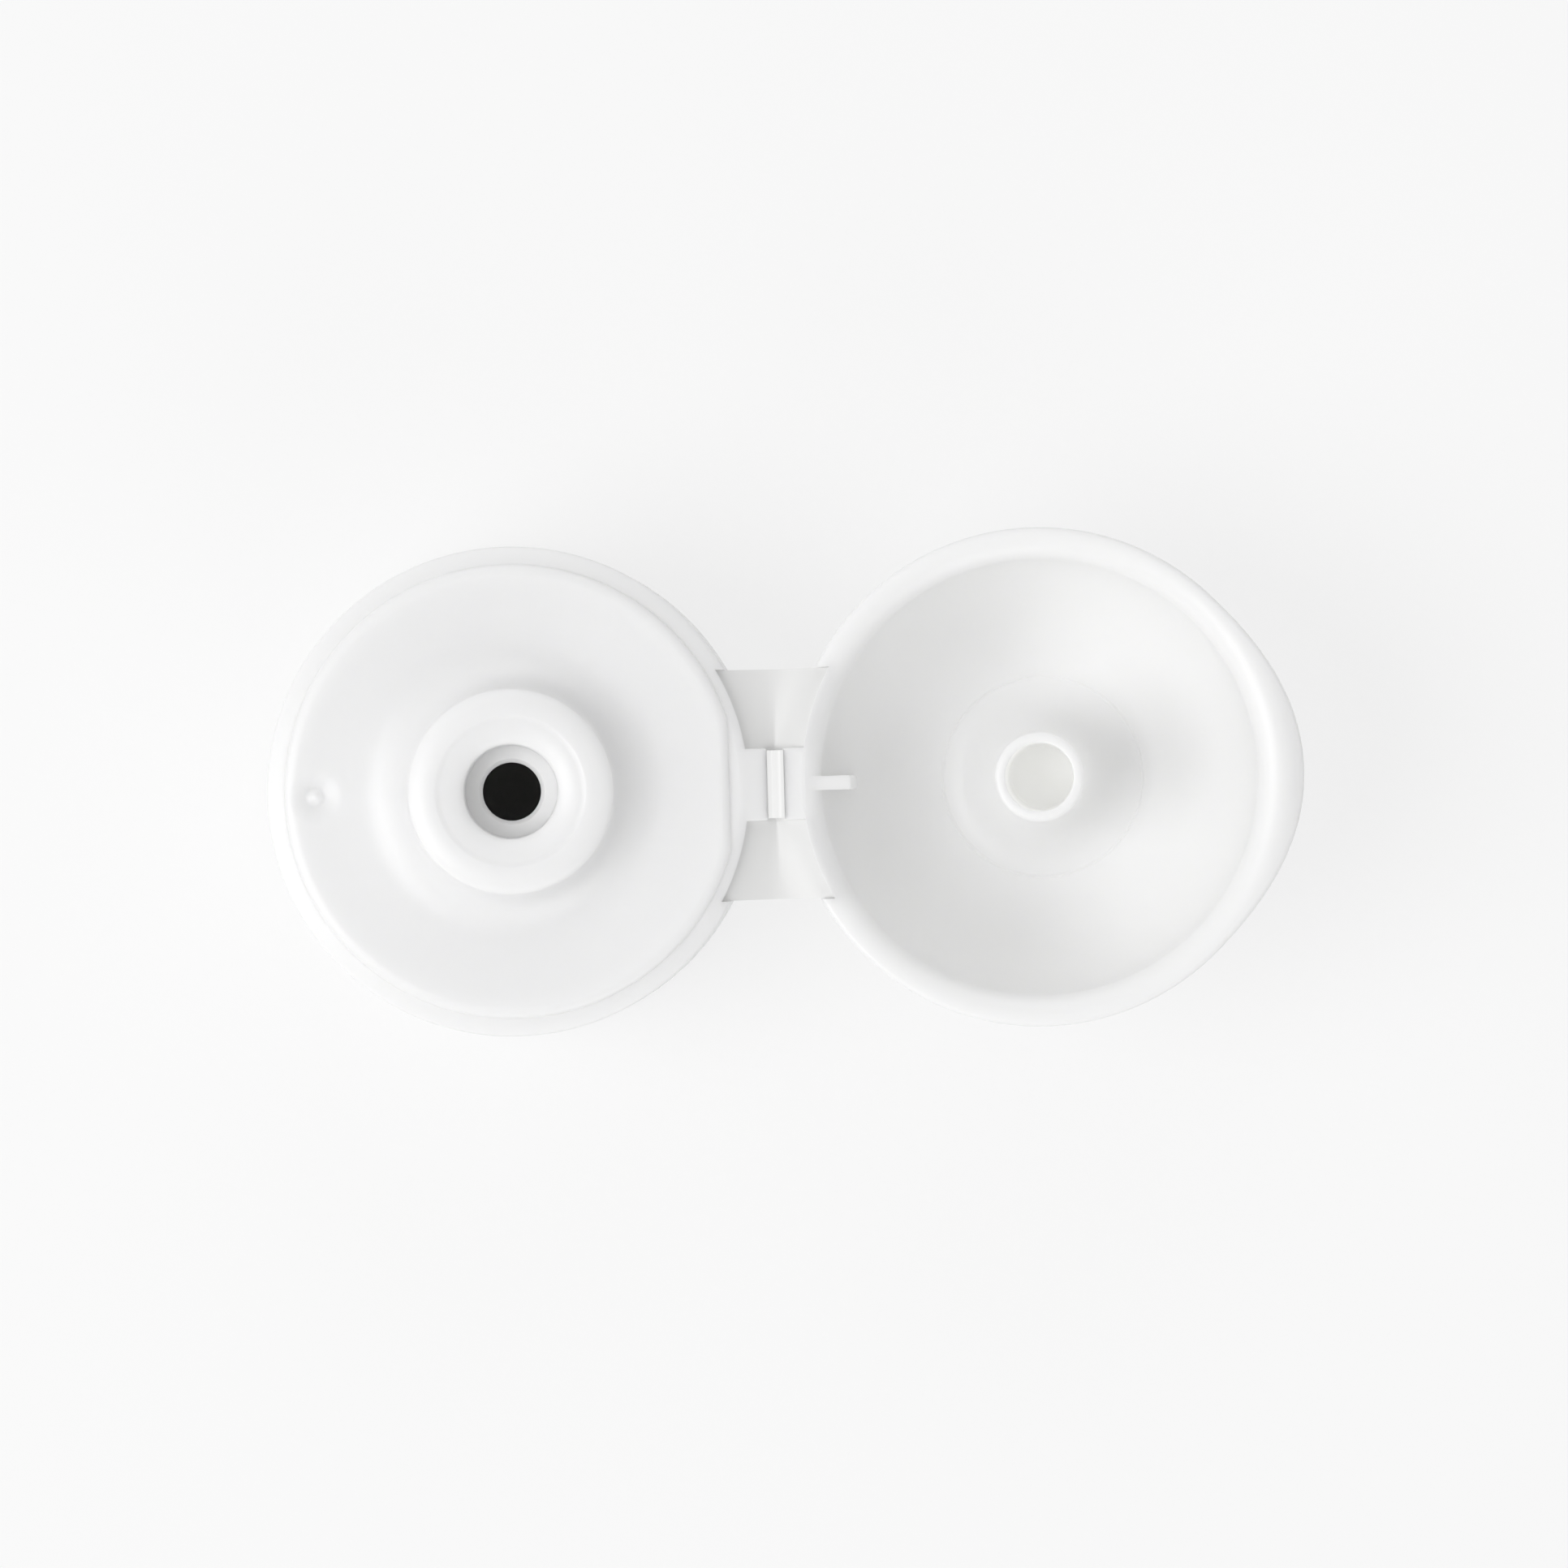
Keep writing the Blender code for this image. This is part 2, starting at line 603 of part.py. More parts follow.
def lid_rib(parent):
    """The upright rib in the wall beside the hinge. Its outer side stays inside the wall."""
    inner_r = LID_R - RIB_REACH
    outline = [(inner_r, RIB_TOP_DEPTH)]
    outer_limit = RECESS_R - TAB_ROOT_DEPTH
    for step in range(RIB_STEPS + 1):
        depth = RIB_TOP_DEPTH + RIB_DEPTH * step / RIB_STEPS
        middle_r = dome_radius(depth, LID_HEIGHT, LID_CROWN_R, LID_R) - LID_WALL / 2
        outline.append((max(inner_r, min(middle_r, outer_limit)), depth))
    outline.append((inner_r - RIB_SLANT, RIB_TOP_DEPTH + RIB_DEPTH))
    shut = [(radius - HINGE_X, z) for radius, z in lid_section(outline)]
    return prism("lid_rib_form", shut, -RIB_WIDTH / 2, RIB_WIDTH / 2, "Y", parent)


def lid_tab(parent):
    """The lid's half of the strap, flush with the rim."""
    mouth_z = over_hinge(TAB_SET_BACK)
    root = (RECESS_R - TAB_ROOT_DEPTH - HINGE_X, mouth_z)
    end = (-TAB_GAP_TO_FOLD, mouth_z)
    return hinge_tab("lid_tab_form", root, end, TAB_THICKNESS, parent)


def build_flip_lid(lid_frame):
    lid = lid_outside(lid_frame)
    combine(lid, turned("lid_hollow_cutter", lid_hollow_section(), lid_frame, -HINGE_X), "DIFFERENCE")
    recess = hinge_recess(
        "lid_recess_cutter", over_hinge(-MOUTH_CUT), over_hinge(RECESS_HEIGHT), -HINGE_X, lid_frame
    )
    combine(lid, recess, "DIFFERENCE")
    combine(lid, lid_rib(lid_frame), "UNION")
    combine(lid, lid_tab(lid_frame), "UNION")
    lid.data.materials.append(moulded_plastic("flip_lid_plastic", SHELL_WHITE, SHELL_ROUGHNESS))
    return lid


def smooth_share(value):
    return value * value * (3 - 2 * value)


def leaned(point, lean_share):
    """Turns a point about the fold line by its share of what the lid lacks of a half turn."""
    turn = Matrix.Rotation(-(math.pi - OPEN_ANGLE) * lean_share, 4, "Y")
    fold = Vector((HINGE_X, 0.0, HINGE_Z))
    return turn @ (Vector(point) - fold) + fold


def film_row(y, first_x, film_z):
    """One row of the film across the fold, from the body to the lid, as points of its middle layer."""
    row = []
    for column in range(2 * WEB_COLUMNS + 1):
        share = column / (2 * WEB_COLUMNS)
        x = first_x + 2 * (HINGE_X - first_x) * share
        row.append(leaned((x, y, film_z(share)), smooth_share(share)))
    return row


def web_height(share):
    """A side web sags evenly from either wall to its fold."""
    return SKIRT_HEIGHT - WEB_DROP - WEB_SAG * (1 - abs(2 * share - 1)) ** WEB_FOLD_SHARPNESS


def strap_height(share):
    """The strap's film rises from the body's tab to the lid's, which lies higher."""
    return SKIRT_HEIGHT - FILM_THICKNESS / 2 - LEDGE_FALL * (1 - share)


def web_start_x(y):
    radius = RECESS_R + FILM_GAP + FILM_THICKNESS / 2
    return math.sqrt(radius**2 - y**2)


def join_rows(bm, rows, start, end):
    """Faces between neighbouring rows, from one column to another."""
    for first, second in zip(rows, rows[1:]):
        for i in range(start, end):
            bm.faces.new((first[i], first[i + 1], second[i + 1], second[i]))


def build_living_hinge(cap_frame):
    """One film: a sagging web on each side of the strap, and the strap's own thin bend between its tabs."""
    inner_y = TAB_WIDTH / 2 + FILM_GAP + FILM_THICKNESS / 2
    outer_y = HINGE_WIDTH / 2
    strap_y = TAB_WIDTH / 2 - FILM_THICKNESS / 2
    strap_x = HINGE_X - TAB_GAP_TO_FOLD + FILM_GAP
    web_rows = []
    for step in range(WEB_ROWS + 1):
        y = outer_y + (inner_y - outer_y) * step / WEB_ROWS
        web_rows.append(film_row(-y, web_start_x(y), web_height))
    strap_rows = [film_row(y, strap_x, strap_height) for y in (-strap_y, 0.0, strap_y)]
    mirrored_rows = [[Vector((p.x, -p.y, p.z)) for p in row] for row in reversed(web_rows)]
    bm = bmesh.new()
    sheets = []
    for rows in (web_rows, strap_rows, mirrored_rows):
        sheet = [[bm.verts.new(point) for point in row] for row in rows]
        join_rows(bm, sheet, 0, 2 * WEB_COLUMNS)
        sheets.append(sheet)
    # The short upright steps between the strap's film and the webs' folds
    for first, second in zip(sheets, sheets[1:]):
        join_rows(bm, [first[-1], second[0]], WEB_COLUMNS - 1, WEB_COLUMNS + 1)
    film = mesh_object("living_hinge", bm, cap_frame)
    thicken = film.modifiers.new("film thickness", "SOLIDIFY")
    thicken.thickness = FILM_THICKNESS
    thicken.offset = 0.0
    film.data.materials.append(moulded_plastic("living_hinge_film", FILM_WHITE, FILM_ROUGHNESS))
    return film


def main():
    clear_scene()
    cap_frame = frame_empty("cap_frame", (CAP_AXIS_X, 0.0, 0.0))
    lid_frame = frame_empty("lid_frame", (HINGE_X, 0.0, HINGE_Z), OPEN_ANGLE, cap_frame)
    build_cap_body(cap_frame)
    build_flip_lid(lid_frame)
    build_living_hinge(cap_frame)


main()
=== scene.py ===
"""Models and finishes a moulded flip top screw cap, standing open, round its construction frame."""

import json
import math

import bmesh
import bpy
from bpy.props import FloatProperty, FloatVectorProperty, IntProperty, PointerProperty
from mathutils import Matrix, Vector


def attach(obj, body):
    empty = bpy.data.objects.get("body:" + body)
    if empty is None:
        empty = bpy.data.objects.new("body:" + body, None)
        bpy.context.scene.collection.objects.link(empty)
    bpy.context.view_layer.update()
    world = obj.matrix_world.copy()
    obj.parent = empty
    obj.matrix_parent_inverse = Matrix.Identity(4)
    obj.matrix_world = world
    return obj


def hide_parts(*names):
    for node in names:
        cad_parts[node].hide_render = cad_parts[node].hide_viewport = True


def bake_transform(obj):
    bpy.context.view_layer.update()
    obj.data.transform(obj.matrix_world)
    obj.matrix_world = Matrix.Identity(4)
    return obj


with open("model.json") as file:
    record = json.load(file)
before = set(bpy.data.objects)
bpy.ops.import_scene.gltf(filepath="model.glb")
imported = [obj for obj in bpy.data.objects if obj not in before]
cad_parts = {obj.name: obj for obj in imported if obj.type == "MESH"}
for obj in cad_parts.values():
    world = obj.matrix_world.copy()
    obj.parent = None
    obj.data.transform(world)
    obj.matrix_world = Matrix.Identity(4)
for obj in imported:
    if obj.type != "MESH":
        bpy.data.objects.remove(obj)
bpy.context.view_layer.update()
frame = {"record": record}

bl_info = {
    "name": "Flip top screw cap",
    "version": (1, 0, 0),
    "blender": (4, 5, 0),
    "location": "View3D > Sidebar > Cap",
    "description": "Models and finishes a moulded flip top screw cap round its construction frame",
    "category": "Object",
}

# File, tolerances and stage
MM = 0.001
WELD = 0.0001 * MM
PLACE_TOLERANCE = 0.002 * MM
SHARP_ANGLE = math.radians(30)
CAMERA_CLIP = 0.01
LAMP_DISTANCE = 0.6
KEY_BEARING = 193
KEY_HEIGHT = 55
KEY_WIDTH = 0.42
EDGE_HEIGHT = 28
EDGE_WIDTH = 0.45
EDGE_LAMPS = (("side_lamp", 187, 0.7), ("back_lamp", 84, 1.0), ("front_lamp", 288, 1.25))
MIRROR_RAYS = ("Is Glossy Ray", "Is Transmission Ray")
FLOOR_SIZE = 3.0
FLOOR_COLOUR = (0.88, 0.88, 0.88, 1.0)

# Plastic and film
PLASTIC_IOR = 1.49
# Painted glow: colour of the emission painted into the plug's core
PAINTED_GLOW_COLOUR = (1.0, 1.0, 0.96)
SCATTER_RADII = (1.0, 1.0, 0.97)
CLOUD_SCALE = 90.0
CLOUD_DETAIL = 3.0
CLOUD_SHADES = (0.985, 1.01)
CLOUD_ROUGHNESS = 0.08
WAVE_SCALE = 160.0
WAVE_DETAIL = 1.0
WAVE_SHARE = 0.8
GRAIN_SCALE = 5200.0
GRAIN_SHARE = 0.2
GRAIN_ROUGHNESS = 0.06
MOULD_BUMP = 0.01 * MM
FILM_ROUGHNESS = 0.32
FILM_GRAIN_SCALE = 3000.0
FILM_GRAIN_ROUGHNESS = 0.1
FILM_BUMP = 0.004 * MM
# Over the strap the film is whiter: partly stress whitening, partly a painted highlight
STRAP_WHITENING_AND_HIGHLIGHT = 1.1
CREASE_START = 0.1 * MM
CREASE_END = 0.4 * MM
CREASE_SHARE = 0.12

# Where the lid folds and how far, from the frame's joint, and the axis that the body is turned about
JOINT = frame["record"]["behaviour"]["joints"][0]
FOLD = Vector(JOINT["pos_m"])
HINGE_REACH = 14.9 * MM
CAP_AXIS_X = FOLD.x - HINGE_REACH
OPEN_ANGLE = math.radians(JOINT["range_deg"][1])

# Skirt
SKIRT_FOOT_R = 14.0 * MM
SKIRT_TOP_R = 13.85 * MM
SKIRT_HEIGHT = 15.0 * MM
NECK_R = 12.25 * MM
NECK_LEAD_IN = 0.4 * MM
NECK_LEAD_IN_HEIGHT = 0.9 * MM
NECK_LEAD_IN_ROUND = 0.15 * MM
NECK_TOP_ROUND = 0.3 * MM
FOOT_ROUND = 0.25 * MM

# Thread inside the skirt
THREAD_DEPTH = 0.85 * MM
THREAD_PITCH = 3.18 * MM
THREAD_TURNS = 1.5
THREAD_START_Z = 3.0 * MM
THREAD_ROOT_WIDTH = 1.8 * MM
THREAD_CREST_WIDTH = 0.7 * MM
THREAD_ROUND = 0.2 * MM
THREAD_SINK = 0.3 * MM
THREAD_RUN_OUT = math.radians(45)
THREAD_END_SHARE = 0.03

# Parting ledge and deck
LEDGE_FALL = 0.38 * MM
LEDGE_LAND = 0.1 * MM
LEDGE_ROUND = 0.1 * MM
DECK_R = 12.85 * MM
DECK_RISE = 0.4 * MM
DECK_EDGE_WIDTH = 0.65 * MM
DECK_EDGE_FALL = 0.35 * MM
DECK_DISH = 0.13 * MM
DECK_THICKNESS = 1.2 * MM
DECK_FLAT_X = 12.3 * MM
SEAL_BEAD_R = 10.2 * MM
SEAL_BEAD_HEIGHT = 0.45 * MM
SEAL_BEAD_ROUND = 0.2 * MM

# Nozzle
NOZZLE_R = 5.8 * MM
NOZZLE_RISE = 2.7 * MM
NOZZLE_FLARE = 2.7 * MM
SHOULDER_HEIGHT = 0.55 * MM
CROWN_R = 4.4 * MM
STEP_R = 4.25 * MM
STEP_DROP = 0.08 * MM
STEP_ROUND = 0.05 * MM
MOUTH_FLARE = 1.45 * MM
MOUTH_FALL = 0.55 * MM
BORE_R = 2.65 * MM
BORE_DEPTH = 2.6 * MM
BORE_FLOOR_ROUND = 0.12 * MM
ORIFICE_R = 1.65 * MM
ORIFICE_CHAMFER = 0.22 * MM
FLOOR_THICKNESS = 0.95 * MM
BORE_WALL = 1.0 * MM
NOZZLE_WALL = 1.05 * MM
HOLLOW_ROUND = 0.4 * MM

# Gate mark
GATE_X = 11.1 * MM
GATE_R = 1.6 * MM
GATE_DEPTH = 0.34 * MM
GATE_NUB_R = 0.58 * MM
GATE_NUB_HEIGHT = 0.32 * MM
GATE_PATCH_R = 2.3 * MM
GATE_PATCH_CUTS = 3

# Thumb scoop
SCOOP_PLAN_R = 22.15 * MM
SCOOP_DEPTH = 0.62 * MM
SCOOP_HEIGHT = 7.4 * MM
SCOOP_CUT_REACH = 3.5 * MM
SCOOP_RUN_OUT = math.radians(5)

# Lid, as radii from its axis and depths in from its mouth
LID_R = 14.1 * MM
LID_HEIGHT = 11.0 * MM
LID_CROWN_R = 6.0 * MM
LID_CURVE = 1.9
LID_WALL = 1.2 * MM
BOWL_R = 12.32 * MM
RIM_Z = 15.1 * MM
RIM_ROUND = 0.25 * MM
RIM_FACETS = 4
RIM_BEND_WIDTH = 1.4 * MM
RIM_BEND_FALL = 1.2 * MM
MOUTH_CUT = 1.0 * MM
RING_LINE_R = 5.72 * MM
RING_LINE_WIDTH = 0.09 * MM
RING_LINE_HEIGHT = 0.05 * MM

# Plug
PLUG_R = 2.55 * MM
PLUG_WALL = 0.62 * MM
PLUG_TIP_DEPTH = 1.37 * MM
PLUG_TIP_ROUND = 0.28 * MM
PLUG_CORE_EDGE_ROUND = 0.1 * MM
PLUG_CORE_FLOOR_ROUND = 0.3 * MM
PLUG_CORE_FLOOR = 3.0 * MM
PLUG_FLARE = 3.03 * MM
PLUG_FLARE_HEIGHT = 3.4 * MM
# Painted glow: how far the emission painted into the plug's core fades in from its tip
PAINTED_GLOW_FADE = 0.7 * MM

# Thumb lip
LIP_R = 10.75 * MM
LIP_OFFSET = 4.2 * MM
LIP_THICKNESS = 1.5 * MM
LIP_FALL = 2.2 * MM
LIP_TUCK = 1.1 * MM
LIP_BLEND = 0.8 * MM
LIP_REACH = 0.85 * MM
LIP_CROWN = 0.28 * MM

# Rib inside the lid
RIB_INNER_R = 10.62 * MM
RIB_WIDTH = 0.8 * MM
RIB_TOP_DEPTH = 0.45 * MM
RIB_DEPTH = 6.9 * MM
RIB_RISE_R = 12.45 * MM
RIB_HEAD_R = 13.1 * MM
RIB_HEAD_DEPTH = 0.12 * MM
RIB_SLANT = 0.08 * MM
RIB_ROUND = 0.14 * MM
RIB_WALL_STEPS = 8

# Hinge
HINGE_WIDTH = 13.0 * MM
RECESS_R = 13.4 * MM
RECESS_HEIGHT = 2.7 * MM
RECESS_CLEARANCE = 0.05 * MM
TAB_WIDTH = 4.1 * MM
TAB_THICKNESS = 1.0 * MM
TAB_ROOT_DEPTH = 0.2 * MM
TAB_SET_BACK = 0.06 * MM
TAB_GAP_TO_FOLD = 0.45 * MM
TAB_ROUND = 0.13 * MM
FILM_THICKNESS = 0.3 * MM
WEB_DROP = 0.62 * MM
WEB_LID_DROP = 0.4 * MM
WEB_SAG = 0.85 * MM
WEB_SINK = 0.2 * MM
WEB_ROOT_Y = 1.9 * MM
WEB_BEND_REACH = 1.6 * MM
WEB_SHARPNESS = 1.15
WEB_SOFTENING = 0.75
WEB_GRID = (32, 20)
STRAP_SINK = 0.04 * MM
STRAP_GROOVE = 0.04 * MM
STRAP_PROUD = 0.012 * MM
STRAP_RISE_START = 0.3
STRAP_RISE_SHARE = 0.55
STRAP_GRID = (24, 12)

# Derived heights and radii
DECK_TOP_Z = SKIRT_HEIGHT + DECK_RISE
DECK_UNDER_Z = DECK_TOP_Z - DECK_THICKNESS
NOZZLE_TOP_Z = DECK_TOP_Z + NOZZLE_RISE
BORE_MOUTH_Z = NOZZLE_TOP_Z - STEP_DROP - MOUTH_FALL
BORE_FLOOR_Z = BORE_MOUTH_Z - BORE_DEPTH
FLOOR_UNDER_Z = BORE_FLOOR_Z - FLOOR_THICKNESS
LID_FLOOR_DEPTH = LID_HEIGHT - LID_WALL
RIM_LAND_R = BOWL_R + RIM_BEND_WIDTH


class CapShape(bpy.types.PropertyGroup):
    segments: IntProperty(
        name="Round facets", description="Facets round each turned form", default=256, min=48
    )
    arc_steps: IntProperty(
        name="Arc facets", description="Facets along a large rounding of a half section", default=14, min=3
    )
    dome_steps: IntProperty(
        name="Dome facets", description="Facets from the lid's rim to its crown", default=34, min=6
    )
    edge_facets: IntProperty(
        name="Edge facets", description="Facets across a small moulded edge", default=3, min=1
    )
    web_sag: FloatProperty(
        name="Web sag",
        description="How far each side web of the hinge hangs at its fold",
        default=WEB_SAG,
        unit="LENGTH",
        subtype="DISTANCE",
    )


class CapFinish(bpy.types.PropertyGroup):
    shell_colour: FloatVectorProperty(
        name="Shell colour",
        description="White of the moulded polypropylene",
        default=(0.93, 0.93, 0.925),
        subtype="COLOR",
    )
    # Painted shade: the film's white is greyer than the shell's, for the shade that shows through the thin film
    film_colour_with_painted_shade: FloatVectorProperty(
        name="Film colour",
        description="White of the thin film of the hinge",
        default=(0.8, 0.8, 0.795),
        subtype="COLOR",
    )
    roughness: FloatProperty(
        name="Roughness", description="Roughness of the outer face", default=0.34, min=0.0, max=1.0
    )
    translucency: FloatProperty(
        name="Translucency", description="Share of light that enters the plastic", default=1.0, min=0.0, max=1.0
    )
    light_depth: FloatProperty(
        name="Light depth",
        description="How far light runs inside the plastic",
        default=1.0 * MM,
        unit="LENGTH",
        subtype="DISTANCE",
    )
    # Painted glow: emission strength that paints, inside the plug's core, the light its thin wall would let through
    painted_core_glow: FloatProperty(
        name="Wall glow", description="Light that reaches the plug's core through its thin wall", default=0.12, min=0.0
    )


class CapStage(bpy.types.PropertyGroup):
    camera_height: FloatProperty(
        name="Camera height",
        description="Height of the camera over the floor",
        default=0.665,
        unit="LENGTH",
        subtype="DISTANCE",
    )
    frame_width: FloatProperty(
        name="Frame width",
        description="Width of the picture at the ledge's height",
        default=88.6 * MM,
        unit="LENGTH",
        subtype="DISTANCE",
    )
    camera_roll: FloatProperty(
        name="Camera roll", description="Turn of the picture", default=math.radians(-1.6), subtype="ANGLE"
    )
    sky: FloatProperty(name="Sky strength", description="Even light from all round", default=0.48, min=0.0)
    key_power: FloatProperty(
        name="Key power", description="Large soft lamp over the body's side, in watts", default=1.3, min=0.0
    )
    edge_power: FloatProperty(
        name="Edge power", description="Each low lamp beside the cap, in watts", default=0.5, min=0.0
    )
    floor_white: FloatProperty(
        name="Floor white", description="How far the floor is seen as plain white", default=0.7, min=0.0, max=1.0
    )


def deselect_all():
    if bpy.context.mode != "OBJECT":
        bpy.ops.object.mode_set(mode="OBJECT")
    bpy.ops.object.select_all(action="DESELECT")


def select_alone(piece):
    deselect_all()
    piece.select_set(True)
    bpy.context.view_layer.objects.active = piece


def edit(piece):
    """Opens one object alone in edit mode."""
    select_alone(piece)
    bpy.ops.object.mode_set(mode="EDIT")
    bpy.ops.mesh.select_mode(type="VERT")


def begin_outline(name, start, origin=(0.0, 0.0, 0.0)):
    """A new mesh in edit mode that is one vertex: a small plane merged to its middle."""
    deselect_all()
    bpy.ops.mesh.primitive_plane_add(size=MM, location=origin)
    piece = bpy.context.active_object
    piece.name = name
    bpy.ops.object.mode_set(mode="EDIT")
    bpy.ops.mesh.select_mode(type="VERT")
    bpy.ops.mesh.select_all(action="SELECT")
    bpy.ops.mesh.merge(type="CENTER")
    bpy.ops.transform.translate(value=start)
    return piece


def draw_outline(points, lift):
    """Extrudes the selected vertex from point to point. lift turns a point of the outline into 3-D."""
    for start, end in zip(points, points[1:]):
        step = Vector(lift(end)) - Vector(lift(start))
        bpy.ops.mesh.extrude_region_move(TRANSFORM_OT_translate={"value": step})


def weld():
    """Merges every vertex that lies on another."""
    bpy.ops.mesh.select_all(action="SELECT")
    bpy.ops.mesh.remove_doubles(threshold=WELD)


def select_near(piece, place):
    """Selects only what lies at a place in the mesh."""
    bpy.ops.mesh.select_all(action="DESELECT")
    mesh = bmesh.from_edit_mesh(piece.data)
    for vertex in mesh.verts:
        vertex.select_set((vertex.co - Vector(place)).length < PLACE_TOLERANCE)
    mesh.select_flush_mode()
    bmesh.update_edit_mesh(piece.data)


def round_corners(piece, corners, facets):
    """Rounds drawn corners, given as (place, reach of the rounding along its sides)."""
    for place, reach in corners:
        select_near(piece, place)
        bpy.ops.mesh.bevel(offset=reach, segments=facets, affect="VERTICES")


def round_edges(piece, is_chosen, reach, facets):
    """Rounds the edges that a test picks out."""
    edit(piece)
    bpy.ops.mesh.select_mode(type="EDGE")
    bpy.ops.mesh.select_all(action="DESELECT")
    mesh = bmesh.from_edit_mesh(piece.data)
    for edge in mesh.edges:
        edge.select_set(is_chosen(edge))
    bmesh.update_edit_mesh(piece.data)
    bpy.ops.mesh.bevel(offset=reach, segments=facets, affect="EDGES")
    bpy.ops.object.mode_set(mode="OBJECT")


def close_mesh():
    """Merges what meets and turns every face outwards."""
    weld()
    bpy.ops.mesh.select_all(action="SELECT")
    bpy.ops.mesh.normals_make_consistent(inside=False)
    bpy.ops.object.mode_set(mode="OBJECT")


def cap_open_ends():
    bpy.ops.mesh.select_all(action="DESELECT")
    bpy.ops.mesh.select_non_manifold()
    bpy.ops.mesh.edge_face_add()


def turned(name, section, roundings, axis_x, segments, facets, closed=True):
    """A half section of (radius, height), its corners rounded, spun once about an upright axis."""

    def lift(point):
        return (point[0], 0.0, point[1])

    piece = begin_outline(name, lift(section[0]), (axis_x, 0.0, 0.0))
    draw_outline(section + section[:1] if closed else section, lift)
    weld()
    round_corners(piece, [(lift(point), reach) for point, reach in roundings], facets)
    bpy.ops.mesh.select_all(action="SELECT")
    bpy.ops.mesh.spin(
        steps=segments, angle=math.tau, center=(axis_x, 0.0, 0.0), axis=(0.0, 0.0, 1.0), use_auto_merge=True
    )
    close_mesh()
    return piece


def prism(name, outline, start, depth, origin=(0.0, 0.0, 0.0)):
    """An outline filled and extruded. Where start and depth are along Y it is (x, z), or else (x, y)."""
    upright = depth[1] != 0.0

    def lift(point):
        flat = (point[0], 0.0, point[1]) if upright else (point[0], point[1], 0.0)
        return Vector(flat) + Vector(start)

    piece = begin_outline(name, lift(outline[0]), origin)
    draw_outline(outline + outline[:1], lift)
    weld()
    bpy.ops.mesh.select_all(action="SELECT")
    bpy.ops.mesh.edge_face_add()
    bpy.ops.mesh.extrude_region_move(TRANSFORM_OT_translate={"value": depth})
    close_mesh()
    return piece


def combine(piece, tool, operation):
    """Applies a Boolean of the tool to the piece and removes the tool."""
    select_alone(piece)
    bpy.ops.object.modifier_add(type="BOOLEAN")
    modifier = piece.modifiers[-1]
    modifier.operation = operation
    modifier.solver = "MANIFOLD"
    modifier.object = tool
    bpy.ops.object.modifier_apply(modifier=modifier.name)
    bpy.data.objects.remove(tool, do_unlink=True)


def apply_place(piece):
    """Puts the object's place and turn into its mesh."""
    select_alone(piece)
    bpy.ops.object.transform_apply(location=True, rotation=True, scale=True)


def ellipse_arc(centre, radii, start_deg, end_deg, steps):
    """Points along an elliptical arc of a half section, both ends included."""
    points = []
    for step in range(steps + 1):
        angle = math.radians(start_deg + (end_deg - start_deg) * step / steps)
        points.append((centre[0] + radii[0] * math.cos(angle), centre[1] + radii[1] * math.sin(angle)))
    return points


def smooth_share(value):
    value = min(1.0, max(0.0, value))
    return value * value * (3 - 2 * value)


